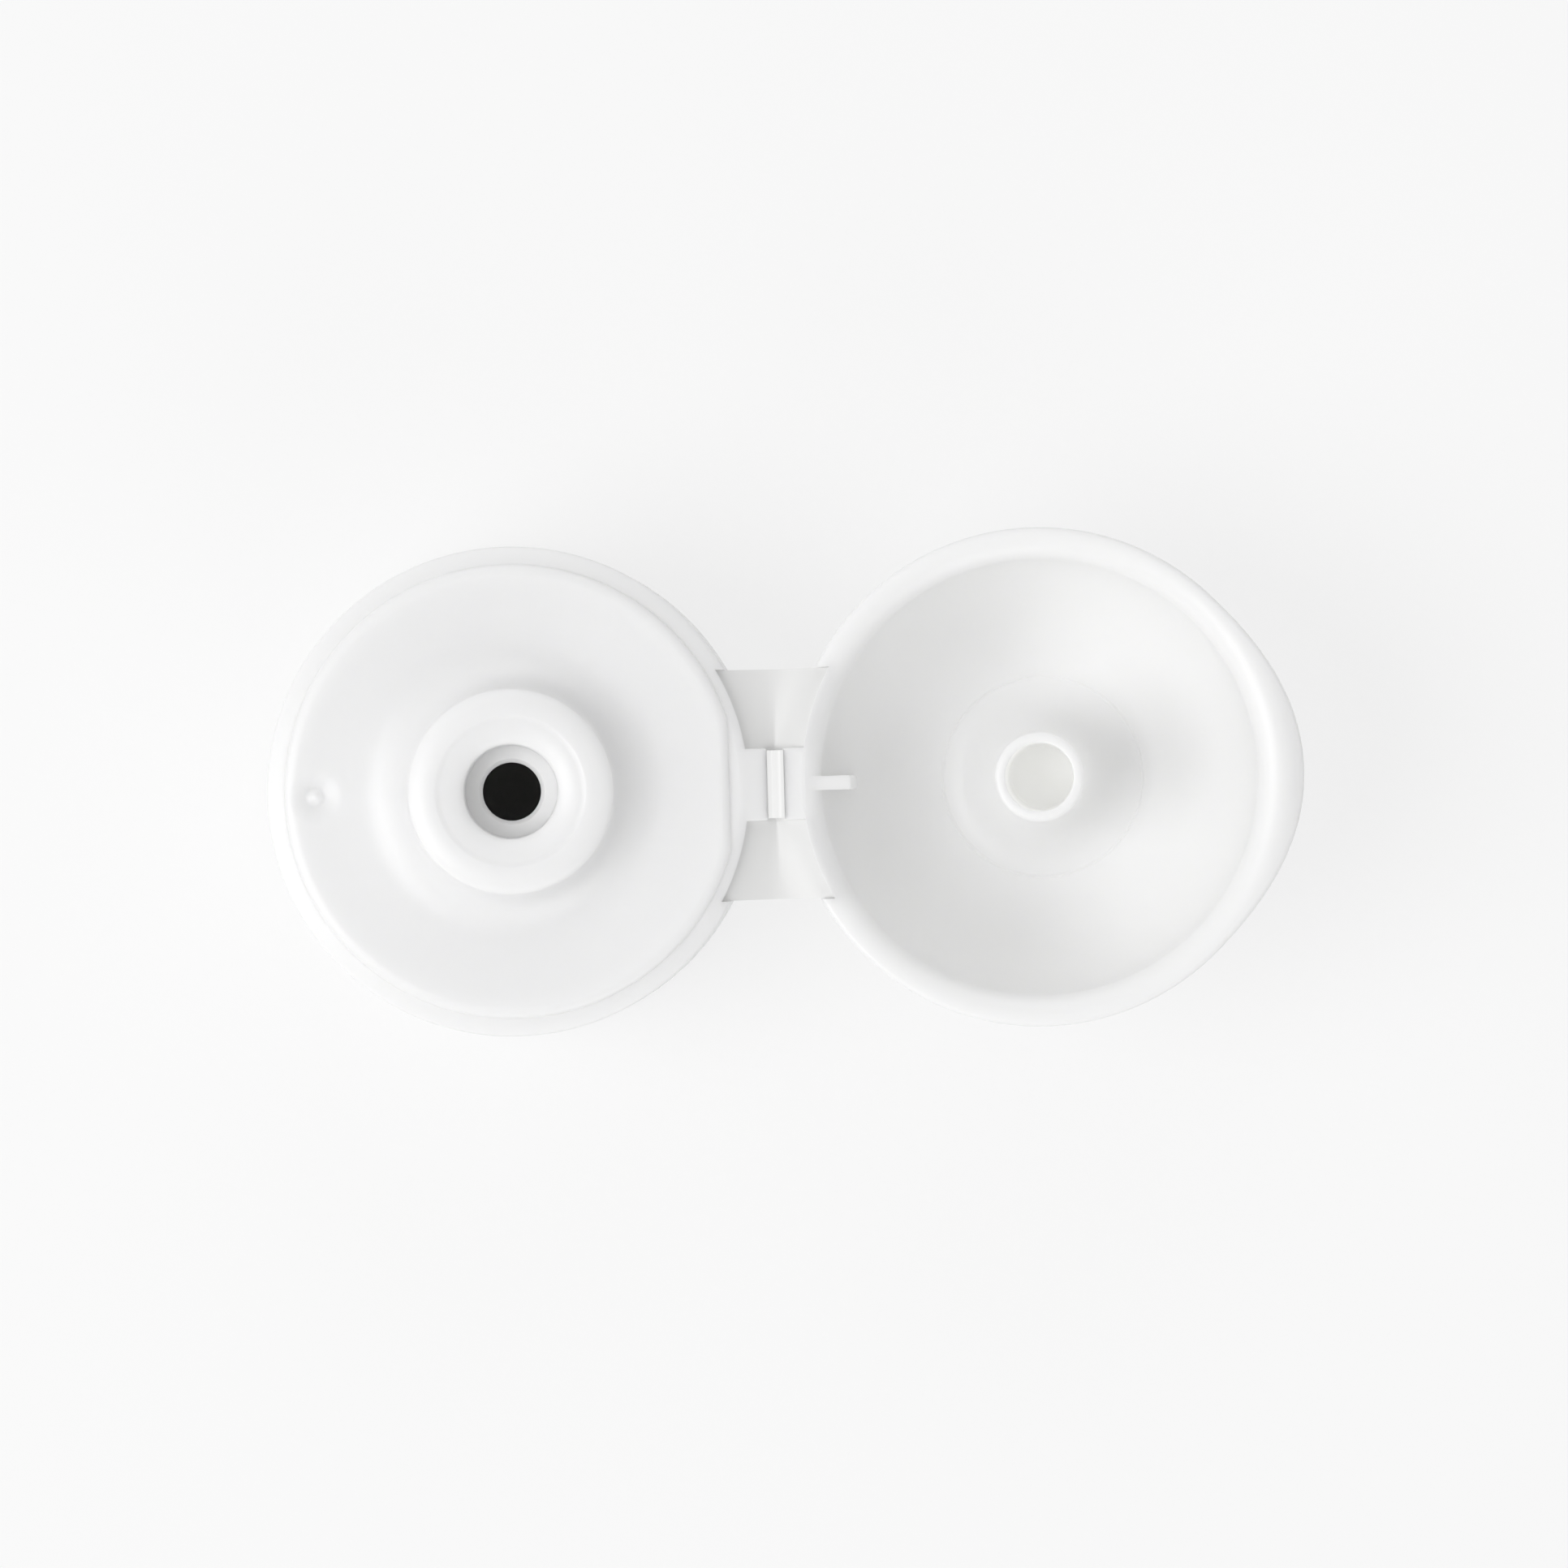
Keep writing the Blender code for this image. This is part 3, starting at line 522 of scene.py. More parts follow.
def body_section(shape):
    """The closed half section of the body and the corners that are rounded."""
    steps = shape.arc_steps
    foot = (SKIRT_FOOT_R, 0.0)
    ledge_outer = (SKIRT_TOP_R, SKIRT_HEIGHT - LEDGE_FALL)
    deck_z = DECK_TOP_Z - DECK_DISH
    edge_r = DECK_R - DECK_EDGE_WIDTH
    edge = ellipse_arc((edge_r, DECK_TOP_Z - DECK_EDGE_FALL), (DECK_EDGE_WIDTH, DECK_EDGE_FALL), 0, 90, steps)
    flare_foot_r = NOZZLE_R + NOZZLE_FLARE
    deck = []
    for step in range(1, steps):
        inward = 1 - step / steps
        deck.append((flare_foot_r + (edge_r - flare_foot_r) * inward, deck_z + DECK_DISH * inward**2))
    waist_z = NOZZLE_TOP_Z - SHOULDER_HEIGHT
    flare = ellipse_arc((flare_foot_r, waist_z), (NOZZLE_FLARE, waist_z - deck_z), 270, 180, steps)
    shoulder = ellipse_arc((CROWN_R, waist_z), (NOZZLE_R - CROWN_R, SHOULDER_HEIGHT), 0, 90, steps)
    step_edge = (STEP_R, NOZZLE_TOP_Z)
    mouth = ellipse_arc((BORE_R + MOUTH_FLARE, BORE_MOUTH_Z), (MOUTH_FLARE, MOUTH_FALL), 90, 180, steps)
    bore_floor = (BORE_R, BORE_FLOOR_Z)
    core_inner_r = BORE_R + BORE_WALL
    core_outer_r = NOZZLE_R - NOZZLE_WALL
    core_top_z = waist_z - NOZZLE_WALL / 2
    bead = (SEAL_BEAD_R, DECK_UNDER_Z - SEAL_BEAD_HEIGHT)
    section = (
        [foot, ledge_outer, (DECK_R + LEDGE_LAND, SKIRT_HEIGHT), (DECK_R, SKIRT_HEIGHT)]
        + edge
        + deck
        + flare
        + shoulder[1:]
        + [step_edge]
        + mouth
        + [
            bore_floor,
            (ORIFICE_R + ORIFICE_CHAMFER, BORE_FLOOR_Z),
            (ORIFICE_R, BORE_FLOOR_Z - ORIFICE_CHAMFER),
            (ORIFICE_R, FLOOR_UNDER_Z),
            (core_inner_r, FLOOR_UNDER_Z),
            (core_inner_r, core_top_z),
            (core_outer_r, core_top_z),
            (core_outer_r + NOZZLE_FLARE - NOZZLE_WALL, DECK_UNDER_Z),
            (SEAL_BEAD_R - SEAL_BEAD_HEIGHT, DECK_UNDER_Z),
            bead,
            (SEAL_BEAD_R + SEAL_BEAD_HEIGHT, DECK_UNDER_Z),
            (NECK_R, DECK_UNDER_Z),
            (NECK_R, NECK_LEAD_IN_HEIGHT),
            (NECK_R + NECK_LEAD_IN, 0.0),
        ]
    )
    roundings = [
        (foot, FOOT_ROUND),
        (ledge_outer, LEDGE_ROUND),
        (step_edge, STEP_ROUND),
        (bore_floor, BORE_FLOOR_ROUND),
        ((core_inner_r, core_top_z), HOLLOW_ROUND),
        ((core_outer_r, core_top_z), HOLLOW_ROUND),
        (bead, SEAL_BEAD_ROUND),
        ((NECK_R, DECK_UNDER_Z), NECK_TOP_ROUND),
        ((NECK_R, NECK_LEAD_IN_HEIGHT), NECK_LEAD_IN_ROUND),
    ]
    return section, roundings


def cut_deck_flat(body, shape):
    """Cuts the deck's edge straight beside the hinge and leaves the new edge rounded."""
    above_z = DECK_TOP_Z + DECK_RISE
    edge_x = DECK_FLAT_X - DECK_EDGE_WIDTH
    radii = (DECK_EDGE_WIDTH, DECK_EDGE_FALL)
    edge = ellipse_arc((edge_x, DECK_TOP_Z - DECK_EDGE_FALL), radii, 90, 0, shape.arc_steps)
    outline = [(DECK_FLAT_X, SKIRT_HEIGHT), (SKIRT_TOP_R, SKIRT_HEIGHT), (SKIRT_TOP_R, above_z)]
    outline += [(edge_x, above_z)] + edge[:-1]
    cutter = prism("deck_flat_cutter", outline, (CAP_AXIS_X, -DECK_R, 0.0), (0.0, 2 * DECK_R, 0.0))
    combine(body, cutter, "DIFFERENCE")


def cut_thumb_scoop(body, shape):
    """Hollows the front of the skirt with a section spun about an axis inside the cap."""
    centre_x = SCOOP_PLAN_R + SCOOP_DEPTH - SKIRT_TOP_R
    reach = (centre_x**2 + SCOOP_PLAN_R**2 - SKIRT_FOOT_R**2) / (2 * centre_x * SCOOP_PLAN_R)
    half_angle = math.acos(reach) + SCOOP_RUN_OUT
    depth_at_foot = SKIRT_FOOT_R - SKIRT_TOP_R + SCOOP_DEPTH + FOOT_ROUND
    outer_r = SCOOP_PLAN_R + SCOOP_CUT_REACH
    top_z = SKIRT_HEIGHT + DECK_RISE / 2
    hollow = ellipse_arc(
        (SCOOP_PLAN_R + depth_at_foot, SKIRT_HEIGHT - LEDGE_FALL),
        (depth_at_foot, SCOOP_HEIGHT),
        180,
        270,
        shape.arc_steps,
    )
    section = [(outer_r, hollow[-1][1]), (outer_r, top_z), (SCOOP_PLAN_R, top_z)] + hollow

    def lift(point):
        return (-point[0], 0.0, point[1])

    origin = (CAP_AXIS_X + centre_x, 0.0, 0.0)
    cutter = begin_outline("thumb_scoop_cutter", lift(section[0]), origin)
    draw_outline(section + section[:1], lift)
    weld()
    bpy.ops.object.mode_set(mode="OBJECT")
    cutter.rotation_euler.z = -half_angle
    apply_place(cutter)
    edit(cutter)
    bpy.ops.mesh.select_all(action="SELECT")
    bpy.ops.mesh.spin(
        steps=shape.segments // 4, angle=2 * half_angle, center=origin, axis=(0.0, 0.0, 1.0), use_auto_merge=False
    )
    cap_open_ends()
    close_mesh()
    combine(body, cutter, "DIFFERENCE")


def cut_hinge_recess(piece, shape, axis_x, start_z, end_z):
    """Cuts the shallow pocket behind the webs, an arc as wide as the hinge, on the side facing +X."""
    half = HINGE_WIDTH / 2 + RECESS_CLEARANCE
    reach = math.asin(half / RECESS_R)
    steps = shape.segments // 8
    outline = []
    for step in range(steps + 1):
        angle = reach - 2 * reach * step / steps
        outline.append((RECESS_R * math.cos(angle), RECESS_R * math.sin(angle)))
    outline += [(HINGE_REACH, -half), (HINGE_REACH, half)]
    depth = (0.0, 0.0, end_z - start_z)
    cutter = prism("hinge_recess_cutter", outline, (0.0, 0.0, start_z), depth, (axis_x, 0.0, 0.0))
    combine(piece, cutter, "DIFFERENCE")


def add_tab(piece, outline, facets):
    """Joins one half of the strap to a shell, its long edges rounded."""
    half = TAB_WIDTH / 2

    def on_one_side(edge):
        first, second = (vertex.co.y for vertex in edge.verts)
        on_side = all(abs(abs(y) - half) < PLACE_TOLERANCE for y in (first, second))
        return on_side and abs(first - second) < PLACE_TOLERANCE

    tab = prism("strap_tab", outline, (0.0, -half, 0.0), (0.0, TAB_WIDTH, 0.0))
    round_edges(tab, on_one_side, TAB_ROUND, facets)
    combine(piece, tab, "UNION")


def add_thread(body, shape):
    """Joins a helical ridge to the neck wall: a trapezium screwed round the axis, which runs out at both ends."""
    sunk_r = NECK_R + THREAD_SINK
    crest_r = NECK_R - THREAD_DEPTH
    section = [
        (sunk_r, -THREAD_ROOT_WIDTH / 2),
        (NECK_R, -THREAD_ROOT_WIDTH / 2),
        (crest_r, -THREAD_CREST_WIDTH / 2),
        (crest_r, THREAD_CREST_WIDTH / 2),
        (NECK_R, THREAD_ROOT_WIDTH / 2),
        (sunk_r, THREAD_ROOT_WIDTH / 2),
    ]

    def lift(point):
        return (point[0], 0.0, point[1])

    thread = begin_outline("neck_thread", lift(section[0]), (CAP_AXIS_X, 0.0, THREAD_START_Z))
    draw_outline(section + section[:1], lift)
    weld()
    round_corners(thread, [(lift(section[2]), THREAD_ROUND), (lift(section[3]), THREAD_ROUND)], shape.edge_facets)
    bpy.ops.object.mode_set(mode="OBJECT")
    thread.rotation_euler.z = math.pi / shape.segments
    bpy.ops.object.modifier_add(type="SCREW")
    screw = thread.modifiers[-1]
    screw.angle = THREAD_TURNS * math.tau
    screw.screw_offset = THREAD_TURNS * THREAD_PITCH
    screw.steps = round(THREAD_TURNS * shape.segments)
    screw.render_steps = screw.steps
    bpy.ops.object.modifier_apply(modifier=screw.name)
    sweep = THREAD_TURNS * math.tau
    for vertex in thread.data.vertices:
        radius = math.hypot(vertex.co.x, vertex.co.y)
        if radius > NECK_R - PLACE_TOLERANCE:
            continue
        turned_by = turn_along_helix(vertex.co)
        to_end = min(turned_by, sweep - turned_by)
        share = min(1.0, max(0.0, to_end / THREAD_RUN_OUT))
        height = max(THREAD_END_SHARE, math.sin(share * math.pi / 2))
        scale = (NECK_R - (NECK_R - radius) * height) / radius
        vertex.co.x *= scale
        vertex.co.y *= scale
    apply_place(thread)
    edit(thread)
    cap_open_ends()
    close_mesh()
    combine(body, thread, "UNION")


def turn_along_helix(place):
    """How far round the helix a vertex of the thread lies, from its height and bearing together."""
    bearing = math.atan2(place.y, place.x) % math.tau
    rough = place.z / THREAD_PITCH * math.tau
    return bearing + math.tau * round((rough - bearing) / math.tau)


def press_gate_mark(body):
    """Refines the deck round the gate and presses a soft dish with a nub in its middle."""
    centre = Vector((CAP_AXIS_X - GATE_X, 0.0))
    edit(body)
    bpy.ops.mesh.select_mode(type="FACE")
    bpy.ops.mesh.select_all(action="DESELECT")
    mesh = bmesh.from_edit_mesh(body.data)
    for face in mesh.faces:
        middle = face.calc_center_median()
        near = (middle.xy - centre).length < GATE_PATCH_R
        face.select_set(near and middle.z > SKIRT_HEIGHT + DECK_RISE / 2 and face.normal.z > 0.5)
    bmesh.update_edit_mesh(body.data)
    bpy.ops.mesh.subdivide(number_cuts=GATE_PATCH_CUTS)
    mesh = bmesh.from_edit_mesh(body.data)
    for vertex in mesh.verts:
        away = (vertex.co.xy - centre).length
        if away > GATE_R or vertex.co.z < SKIRT_HEIGHT + DECK_RISE / 2:
            continue
        dish = math.cos(math.pi / 2 * away / GATE_R) ** 2
        nub = 1 - smooth_share(away / GATE_NUB_R)
        vertex.co.z += GATE_NUB_HEIGHT * nub - GATE_DEPTH * dish
    bmesh.update_edit_mesh(body.data)
    bpy.ops.object.mode_set(mode="OBJECT")


def dome_radius(depth, full_depth, crown_r, mouth_r):
    """Radius of the lid's curved wall at a depth in from its mouth."""
    share = min(1.0, max(0.0, depth / full_depth))
    return crown_r + (mouth_r - crown_r) * (1 - share**LID_CURVE) ** (1 / LID_CURVE)


def dome_points(start_depth, full_depth, crown_r, mouth_r, steps):
    """The curved wall from start_depth to the crown, closer together where it turns over."""
    points = []
    for step in range(steps + 1):
        share = math.sin(math.pi / 2 * step / steps)
        depth = start_depth + (full_depth - start_depth) * share
        points.append((dome_radius(depth - start_depth, full_depth - start_depth, crown_r, mouth_r), depth))
    return points


def lid_section(shape):
    """The half section of the lid from the crown's middle, out and in again to the plug's core."""
    steps = shape.arc_steps
    outside = dome_points(RIM_ROUND, LID_HEIGHT, LID_CROWN_R, LID_R, shape.dome_steps)
    outside.reverse()
    rim = ellipse_arc((LID_R - RIM_ROUND, RIM_ROUND), (RIM_ROUND, RIM_ROUND), 0, -90, RIM_FACETS)
    land_width = LID_R - RIM_ROUND - RIM_LAND_R
    land = [(RIM_LAND_R + land_width * (1 - step / steps), 0.0) for step in range(1, steps)]
    bend = ellipse_arc((RIM_LAND_R, RIM_BEND_FALL), (RIM_BEND_WIDTH, RIM_BEND_FALL), 270, 180, steps)
    floor_r = RING_LINE_R + RING_LINE_WIDTH
    bowl = dome_points(RIM_BEND_FALL, LID_FLOOR_DEPTH, floor_r, BOWL_R, shape.dome_steps)
    ring_line = [
        (RING_LINE_R, LID_FLOOR_DEPTH - RING_LINE_HEIGHT),
        (RING_LINE_R - RING_LINE_WIDTH, LID_FLOOR_DEPTH),
    ]
    flare = ellipse_arc(
        (PLUG_R + PLUG_FLARE, LID_FLOOR_DEPTH - PLUG_FLARE_HEIGHT), (PLUG_FLARE, PLUG_FLARE_HEIGHT), 90, 180, steps
    )
    core_r = PLUG_R - PLUG_WALL
    core_depth = LID_HEIGHT - PLUG_CORE_FLOOR
    tip_outer = (PLUG_R, PLUG_TIP_DEPTH)
    tip_inner = (core_r, PLUG_TIP_DEPTH)
    core_corner = (core_r, core_depth)
    points = [(0.0, LID_HEIGHT)] + outside + rim[1:] + land + bend[:-1] + bowl + ring_line + flare
    points += [tip_outer, tip_inner, core_corner, (0.0, core_depth)]
    roundings = [
        (tip_outer, PLUG_TIP_ROUND),
        (tip_inner, PLUG_CORE_EDGE_ROUND),
        (core_corner, PLUG_CORE_FLOOR_ROUND),
    ]
    lift_by = RIM_Z - FOLD.z
    section = [(radius, depth + lift_by) for radius, depth in points]
    return section, [((radius, depth + lift_by), reach) for (radius, depth), reach in roundings]


def lip_radius(bearing, depth):
    """Radius of the thumb lip from the lid's axis, at a bearing from the front. It tucks in under the lip."""
    fall = min(1.0, max(0.0, (depth - LIP_THICKNESS) / LIP_FALL))
    own_r = LIP_R - LIP_TUCK * (1 - math.sqrt(1 - fall**2))
    across = LIP_OFFSET * math.sin(bearing)
    return LIP_OFFSET * math.cos(bearing) + math.sqrt(max(0.0, own_r**2 - across**2))


def pull_thumb_lip(lid):
    """Draws the rim's land and outer wall out to the lip, which falls away softly from the rim."""
    mouth_z = RIM_Z - FOLD.z
    land_width = LID_R - RIM_ROUND - RIM_LAND_R
    for vertex in lid.data.vertices:
        depth = vertex.co.z - mouth_z
        radius = math.hypot(vertex.co.x, vertex.co.y)
        share = min(1.0, (radius - RIM_LAND_R) / land_width) if depth < RIM_ROUND else 1.0
        inside = radius < dome_radius(depth, LID_HEIGHT, LID_CROWN_R, LID_R) - LID_WALL / 2
        if depth > LIP_THICKNESS + LIP_FALL or share <= 0.0 or inside:
            continue
        wall_r = dome_radius(depth, LID_HEIGHT, LID_CROWN_R, LID_R)
        lip_r = lip_radius(math.atan2(vertex.co.y, -vertex.co.x), depth)
        nearness = max(0.0, 1 - abs(wall_r - lip_r) / LIP_BLEND)
        push = share * (max(wall_r, lip_r) - wall_r + nearness**2 * LIP_BLEND / 4)
        vertex.co.x *= (radius + push) / radius
        vertex.co.y *= (radius + push) / radius
        if depth < LIP_THICKNESS:
            vertex.co.z += LIP_CROWN * (push / LIP_REACH) ** 2 * (1 - depth / LIP_THICKNESS)


def add_lid_rib(lid, facets):
    """Joins the upright rib inside the lid, beside the hinge."""
    outline = [(RIB_INNER_R, RIB_TOP_DEPTH), (RIB_RISE_R, RIB_TOP_DEPTH), (RIB_HEAD_R, RIB_HEAD_DEPTH)]
    for step in range(RIB_WALL_STEPS + 1):
        depth = RIB_TOP_DEPTH + RIB_DEPTH * step / RIB_WALL_STEPS
        middle_r = dome_radius(depth, LID_HEIGHT, LID_CROWN_R, LID_R) - LID_WALL / 2
        outline.append((max(RIB_INNER_R, min(middle_r, RECESS_R - TAB_ROOT_DEPTH)), depth))
    outline.append((RIB_INNER_R - RIB_SLANT, RIB_TOP_DEPTH + RIB_DEPTH))
    lift_by = RIM_Z - FOLD.z
    placed = [(radius, depth + lift_by) for radius, depth in outline]

    def at_inner_end(edge):
        return all(vertex.co.x < RIB_INNER_R + PLACE_TOLERANCE for vertex in edge.verts)

    rib = prism("lid_rib", placed, (0.0, -RIB_WIDTH / 2, 0.0), (0.0, RIB_WIDTH, 0.0))
    round_edges(rib, at_inner_end, RIB_ROUND, facets)
    combine(lid, rib, "UNION")


def finish_shading(piece):
    select_alone(piece)
    bpy.ops.object.shade_smooth_by_angle(angle=SHARP_ANGLE)


def dress(piece, finish):
    """Gives a whole piece one material, in place of the empty slot that a cutter leaves."""
    piece.data.materials.clear()
    piece.data.materials.append(finish.material)
    piece.data.polygons.foreach_set("material_index", [0] * len(piece.data.polygons))


class Wire:
    """A node socket that takes part in sums."""

    def __init__(self, finish, socket):
        self.finish = finish
        self.socket = socket

    def calculate(self, operation, first, second=None):
        values = {0: first} if second is None else {0: first, 1: second}
        return self.finish.node("ShaderNodeMath", {"operation": operation}, values)

    def __add__(self, other):
        return self.calculate("ADD", self, other)

    def __radd__(self, other):
        return self.calculate("ADD", other, self)

    def __sub__(self, other):
        return self.calculate("SUBTRACT", self, other)

    def __rsub__(self, other):
        return self.calculate("SUBTRACT", other, self)

    def __mul__(self, other):
        return self.calculate("MULTIPLY", self, other)

    def __rmul__(self, other):
        return self.calculate("MULTIPLY", other, self)

    def __lt__(self, other):
        return self.calculate("LESS_THAN", self, other)


class Finish:
    """A material whose nodes are added one by one."""

    def __init__(self, name):
        self.material = bpy.data.materials.new(name)
        self.material.use_nodes = True
        self.tree = self.material.node_tree
        self.shader = self.tree.nodes["Principled BSDF"]

    def node(self, kind, settings=None, values=None, output=0):
        """Adds a node. Its settings come first, then each socket takes a value or a link."""
        node = self.tree.nodes.new(kind)
        for name, value in (settings or {}).items():
            setattr(node, name, value)
        for key, value in (values or {}).items():
            if isinstance(value, Wire):
                self.tree.links.new(value.socket, node.inputs[key])
            else:
                node.inputs[key].default_value = value
        return Wire(self, node.outputs[output])

    def place(self, centre):
        """Object coordinates measured from a centre."""
        raw = self.node("ShaderNodeTexCoord", output="Object")
        return self.node("ShaderNodeVectorMath", {"operation": "SUBTRACT"}, {0: raw, 1: centre})

    def noise(self, place, scale, detail=2.0):
        return self.node("ShaderNodeTexNoise", None, {"Vector": place, "Scale": scale, "Detail": detail})

    def range(self, wire, low, high, to_low, to_high):
        """Maps a value from one range smoothly to another."""
        values = {0: wire, 1: low, 2: high, 3: to_low, 4: to_high}
        return self.node("ShaderNodeMapRange", {"interpolation_type": "SMOOTHSTEP"}, values)

    def blend(self, share, first, second):
        """Mixes two colours."""
        values = {0: share, 6: colour_of(first), 7: colour_of(second)}
        return self.node("ShaderNodeMix", {"data_type": "RGBA"}, values, 2)

    def feed(self, name, wire):
        self.tree.links.new(wire.socket, self.shader.inputs[name])

    def bump(self, height, distance):
        values = {"Height": height, "Distance": distance, "Strength": 1.0}
        self.feed("Normal", self.node("ShaderNodeBump", None, values))


def colour_of(value):
    return value if isinstance(value, Wire) else (*value, 1.0)


def shade(colour, factor):
    return tuple(min(1.0, channel * factor) for channel in colour)


def moulded_plastic(name, look, centre):
    """White polypropylene: faint flow clouding, fine mould texture, and soft light inside it."""
    finish = Finish(name)
    place = finish.place(centre)
    clouds = finish.noise(place, CLOUD_SCALE, CLOUD_DETAIL)
    darker, lighter = (shade(look.shell_colour, factor) for factor in CLOUD_SHADES)
    finish.feed("Base Color", finish.blend(clouds, darker, lighter))
    grain = finish.noise(place, GRAIN_SCALE)
    waves = finish.noise(place, WAVE_SCALE, WAVE_DETAIL)
    unevenness = (grain - 0.5) * GRAIN_ROUGHNESS + (clouds - 0.5) * CLOUD_ROUGHNESS
    finish.feed("Roughness", look.roughness + unevenness)
    finish.bump(waves * WAVE_SHARE + grain * GRAIN_SHARE, MOULD_BUMP)
    finish.shader.inputs["IOR"].default_value = PLASTIC_IOR
    let_light_in(finish, look)
    return finish


def let_light_in(finish, look):
    """Lets light run inside a wall."""
    finish.shader.inputs["Subsurface Weight"].default_value = look.translucency
    finish.shader.inputs["Subsurface Radius"].default_value = SCATTER_RADII
    finish.shader.inputs["Subsurface Scale"].default_value = look.light_depth


def paint_core_glow(finish, axis_point, axis, core_r, start, end, glow):
    """Paints a soft glow, as emission, into the core of a thin round wall, between two distances along its axis:
    painted light in place of the light that the wall lets through.
    """
    place = finish.place(tuple(axis_point))
    off_axis = finish.node("ShaderNodeVectorMath", {"operation": "CROSS_PRODUCT"}, {0: place, 1: tuple(axis)})
    radius = finish.node("ShaderNodeVectorMath", {"operation": "LENGTH"}, {0: off_axis}, "Value")
    along = finish.node("ShaderNodeVectorMath", {"operation": "DOT_PRODUCT"}, {0: place, 1: tuple(axis)}, "Value")
    # Mask of the painted glow: inside the core, fading in from the plug's tip
    inside = (radius < core_r) * finish.range(along, start, start + PAINTED_GLOW_FADE, 0.0, 1.0) * (along < end)
    finish.feed("Emission Color", finish.blend(inside, (0.0, 0.0, 0.0), PAINTED_GLOW_COLOUR))
    finish.shader.inputs["Emission Strength"].default_value = glow


def hinge_film(look):
    """The thin film: a greyer white than the shell's, which paints the shade showing through it; whiter over the
    strap, partly stress whitening and partly a painted highlight; slightly whiter along the webs' crease.
    """
    finish = Finish("hinge_film")
    place = finish.place(tuple(FOLD))
    across = finish.node("ShaderNodeSeparateXYZ", None, {0: place}, "X")
    along = finish.node("ShaderNodeSeparateXYZ", None, {0: place}, "Y")
    off_fold = across.calculate("ABSOLUTE", across)
    on_strap = along.calculate("ABSOLUTE", along) < TAB_WIDTH / 2
    crease = finish.range(off_fold, CREASE_START, CREASE_END, CREASE_SHARE, 0.0)
    # The film's grey is painted shade; over the strap a whiter tone, partly stress whitening and partly a painted
    # highlight
    colour = finish.blend(on_strap + crease * (1 - on_strap), look.film_colour_with_painted_shade, shade(look.film_colour_with_painted_shade, STRAP_WHITENING_AND_HIGHLIGHT))
    finish.feed("Base Color", colour)
    grain = finish.noise(place, FILM_GRAIN_SCALE)
    finish.feed("Roughness", FILM_ROUGHNESS + (grain - 0.5) * FILM_GRAIN_ROUGHNESS)
    finish.bump(grain, FILM_BUMP)
    finish.shader.inputs["IOR"].default_value = PLASTIC_IOR
    return finish


class CAP_OT_stage(bpy.types.Operator):
    """Add the camera, the lamps, the sky and the floor"""

    bl_idname = "cap.stage"
    bl_label = "Stage"

    def execute(self, context):
        stage = context.scene.cap_stage
        add_camera(context.scene, stage)
        add_lamps(stage)
        add_sky(context.scene, stage)
        add_floor(stage)
        return {"FINISHED"}


def add_camera(scene, stage):
    """Looks straight down at the middle of the cap, as the photograph does."""
    deselect_all()
    bpy.ops.object.camera_add(location=(0.0, 0.0, stage.camera_height), rotation=(0.0, 0.0, stage.camera_roll))
    camera = bpy.context.active_object
    distance = stage.camera_height - SKIRT_HEIGHT
    camera.data.lens = camera.data.sensor_width * distance / stage.frame_width
    camera.data.clip_start = CAMERA_CLIP
    scene.camera = camera


def add_lamp(name, bearing, height, size, power):
    """A round soft lamp that faces the cap, from a bearing and a height, both in degrees."""
    deselect_all()
    place = Vector((LAMP_DISTANCE, 0.0, 0.0))
    place.rotate(Matrix.Rotation(-math.radians(height), 3, "Y"))
    place.rotate(Matrix.Rotation(math.radians(bearing), 3, "Z"))
    bpy.ops.object.light_add(type="AREA", location=place, rotation=(-place).to_track_quat("-Z", "Y").to_euler())
    lamp = bpy.context.active_object
    lamp.name = name
    lamp.data.shape = "DISK"
    lamp.data.size = size
    lamp.data.energy = power


def add_lamps(stage):
    """One broad key over the body, and a low lamp at its side and at either end of the hinge."""
    add_lamp("key_lamp", KEY_BEARING, KEY_HEIGHT, KEY_WIDTH, stage.key_power)
    for name, bearing, share in EDGE_LAMPS:
        add_lamp(name, bearing, EDGE_HEIGHT, EDGE_WIDTH, stage.edge_power * share)


def add_sky(scene, stage):
    """An even sky, which is plain white where it is seen."""
    world = bpy.data.worlds.new("studio_sky")
    scene.world = world
    world.use_nodes = True
    tree = world.node_tree
    background = tree.nodes["Background"]
    background.inputs["Color"].default_value = (1.0, 1.0, 1.0, 1.0)
    path = tree.nodes.new("ShaderNodeLightPath")
    seen = path.outputs["Is Camera Ray"]
    for ray in MIRROR_RAYS:
        either = tree.nodes.new("ShaderNodeMath")
        either.operation = "MAXIMUM"
        tree.links.new(seen, either.inputs[0])
        tree.links.new(path.outputs[ray], either.inputs[1])
        seen = either.outputs[0]
    strength = tree.nodes.new("ShaderNodeMapRange")
    strength.inputs["To Min"].default_value = stage.sky
    strength.inputs["To Max"].default_value = 1.0
    tree.links.new(seen, strength.inputs["Value"])
    tree.links.new(strength.outputs[0], background.inputs["Strength"])


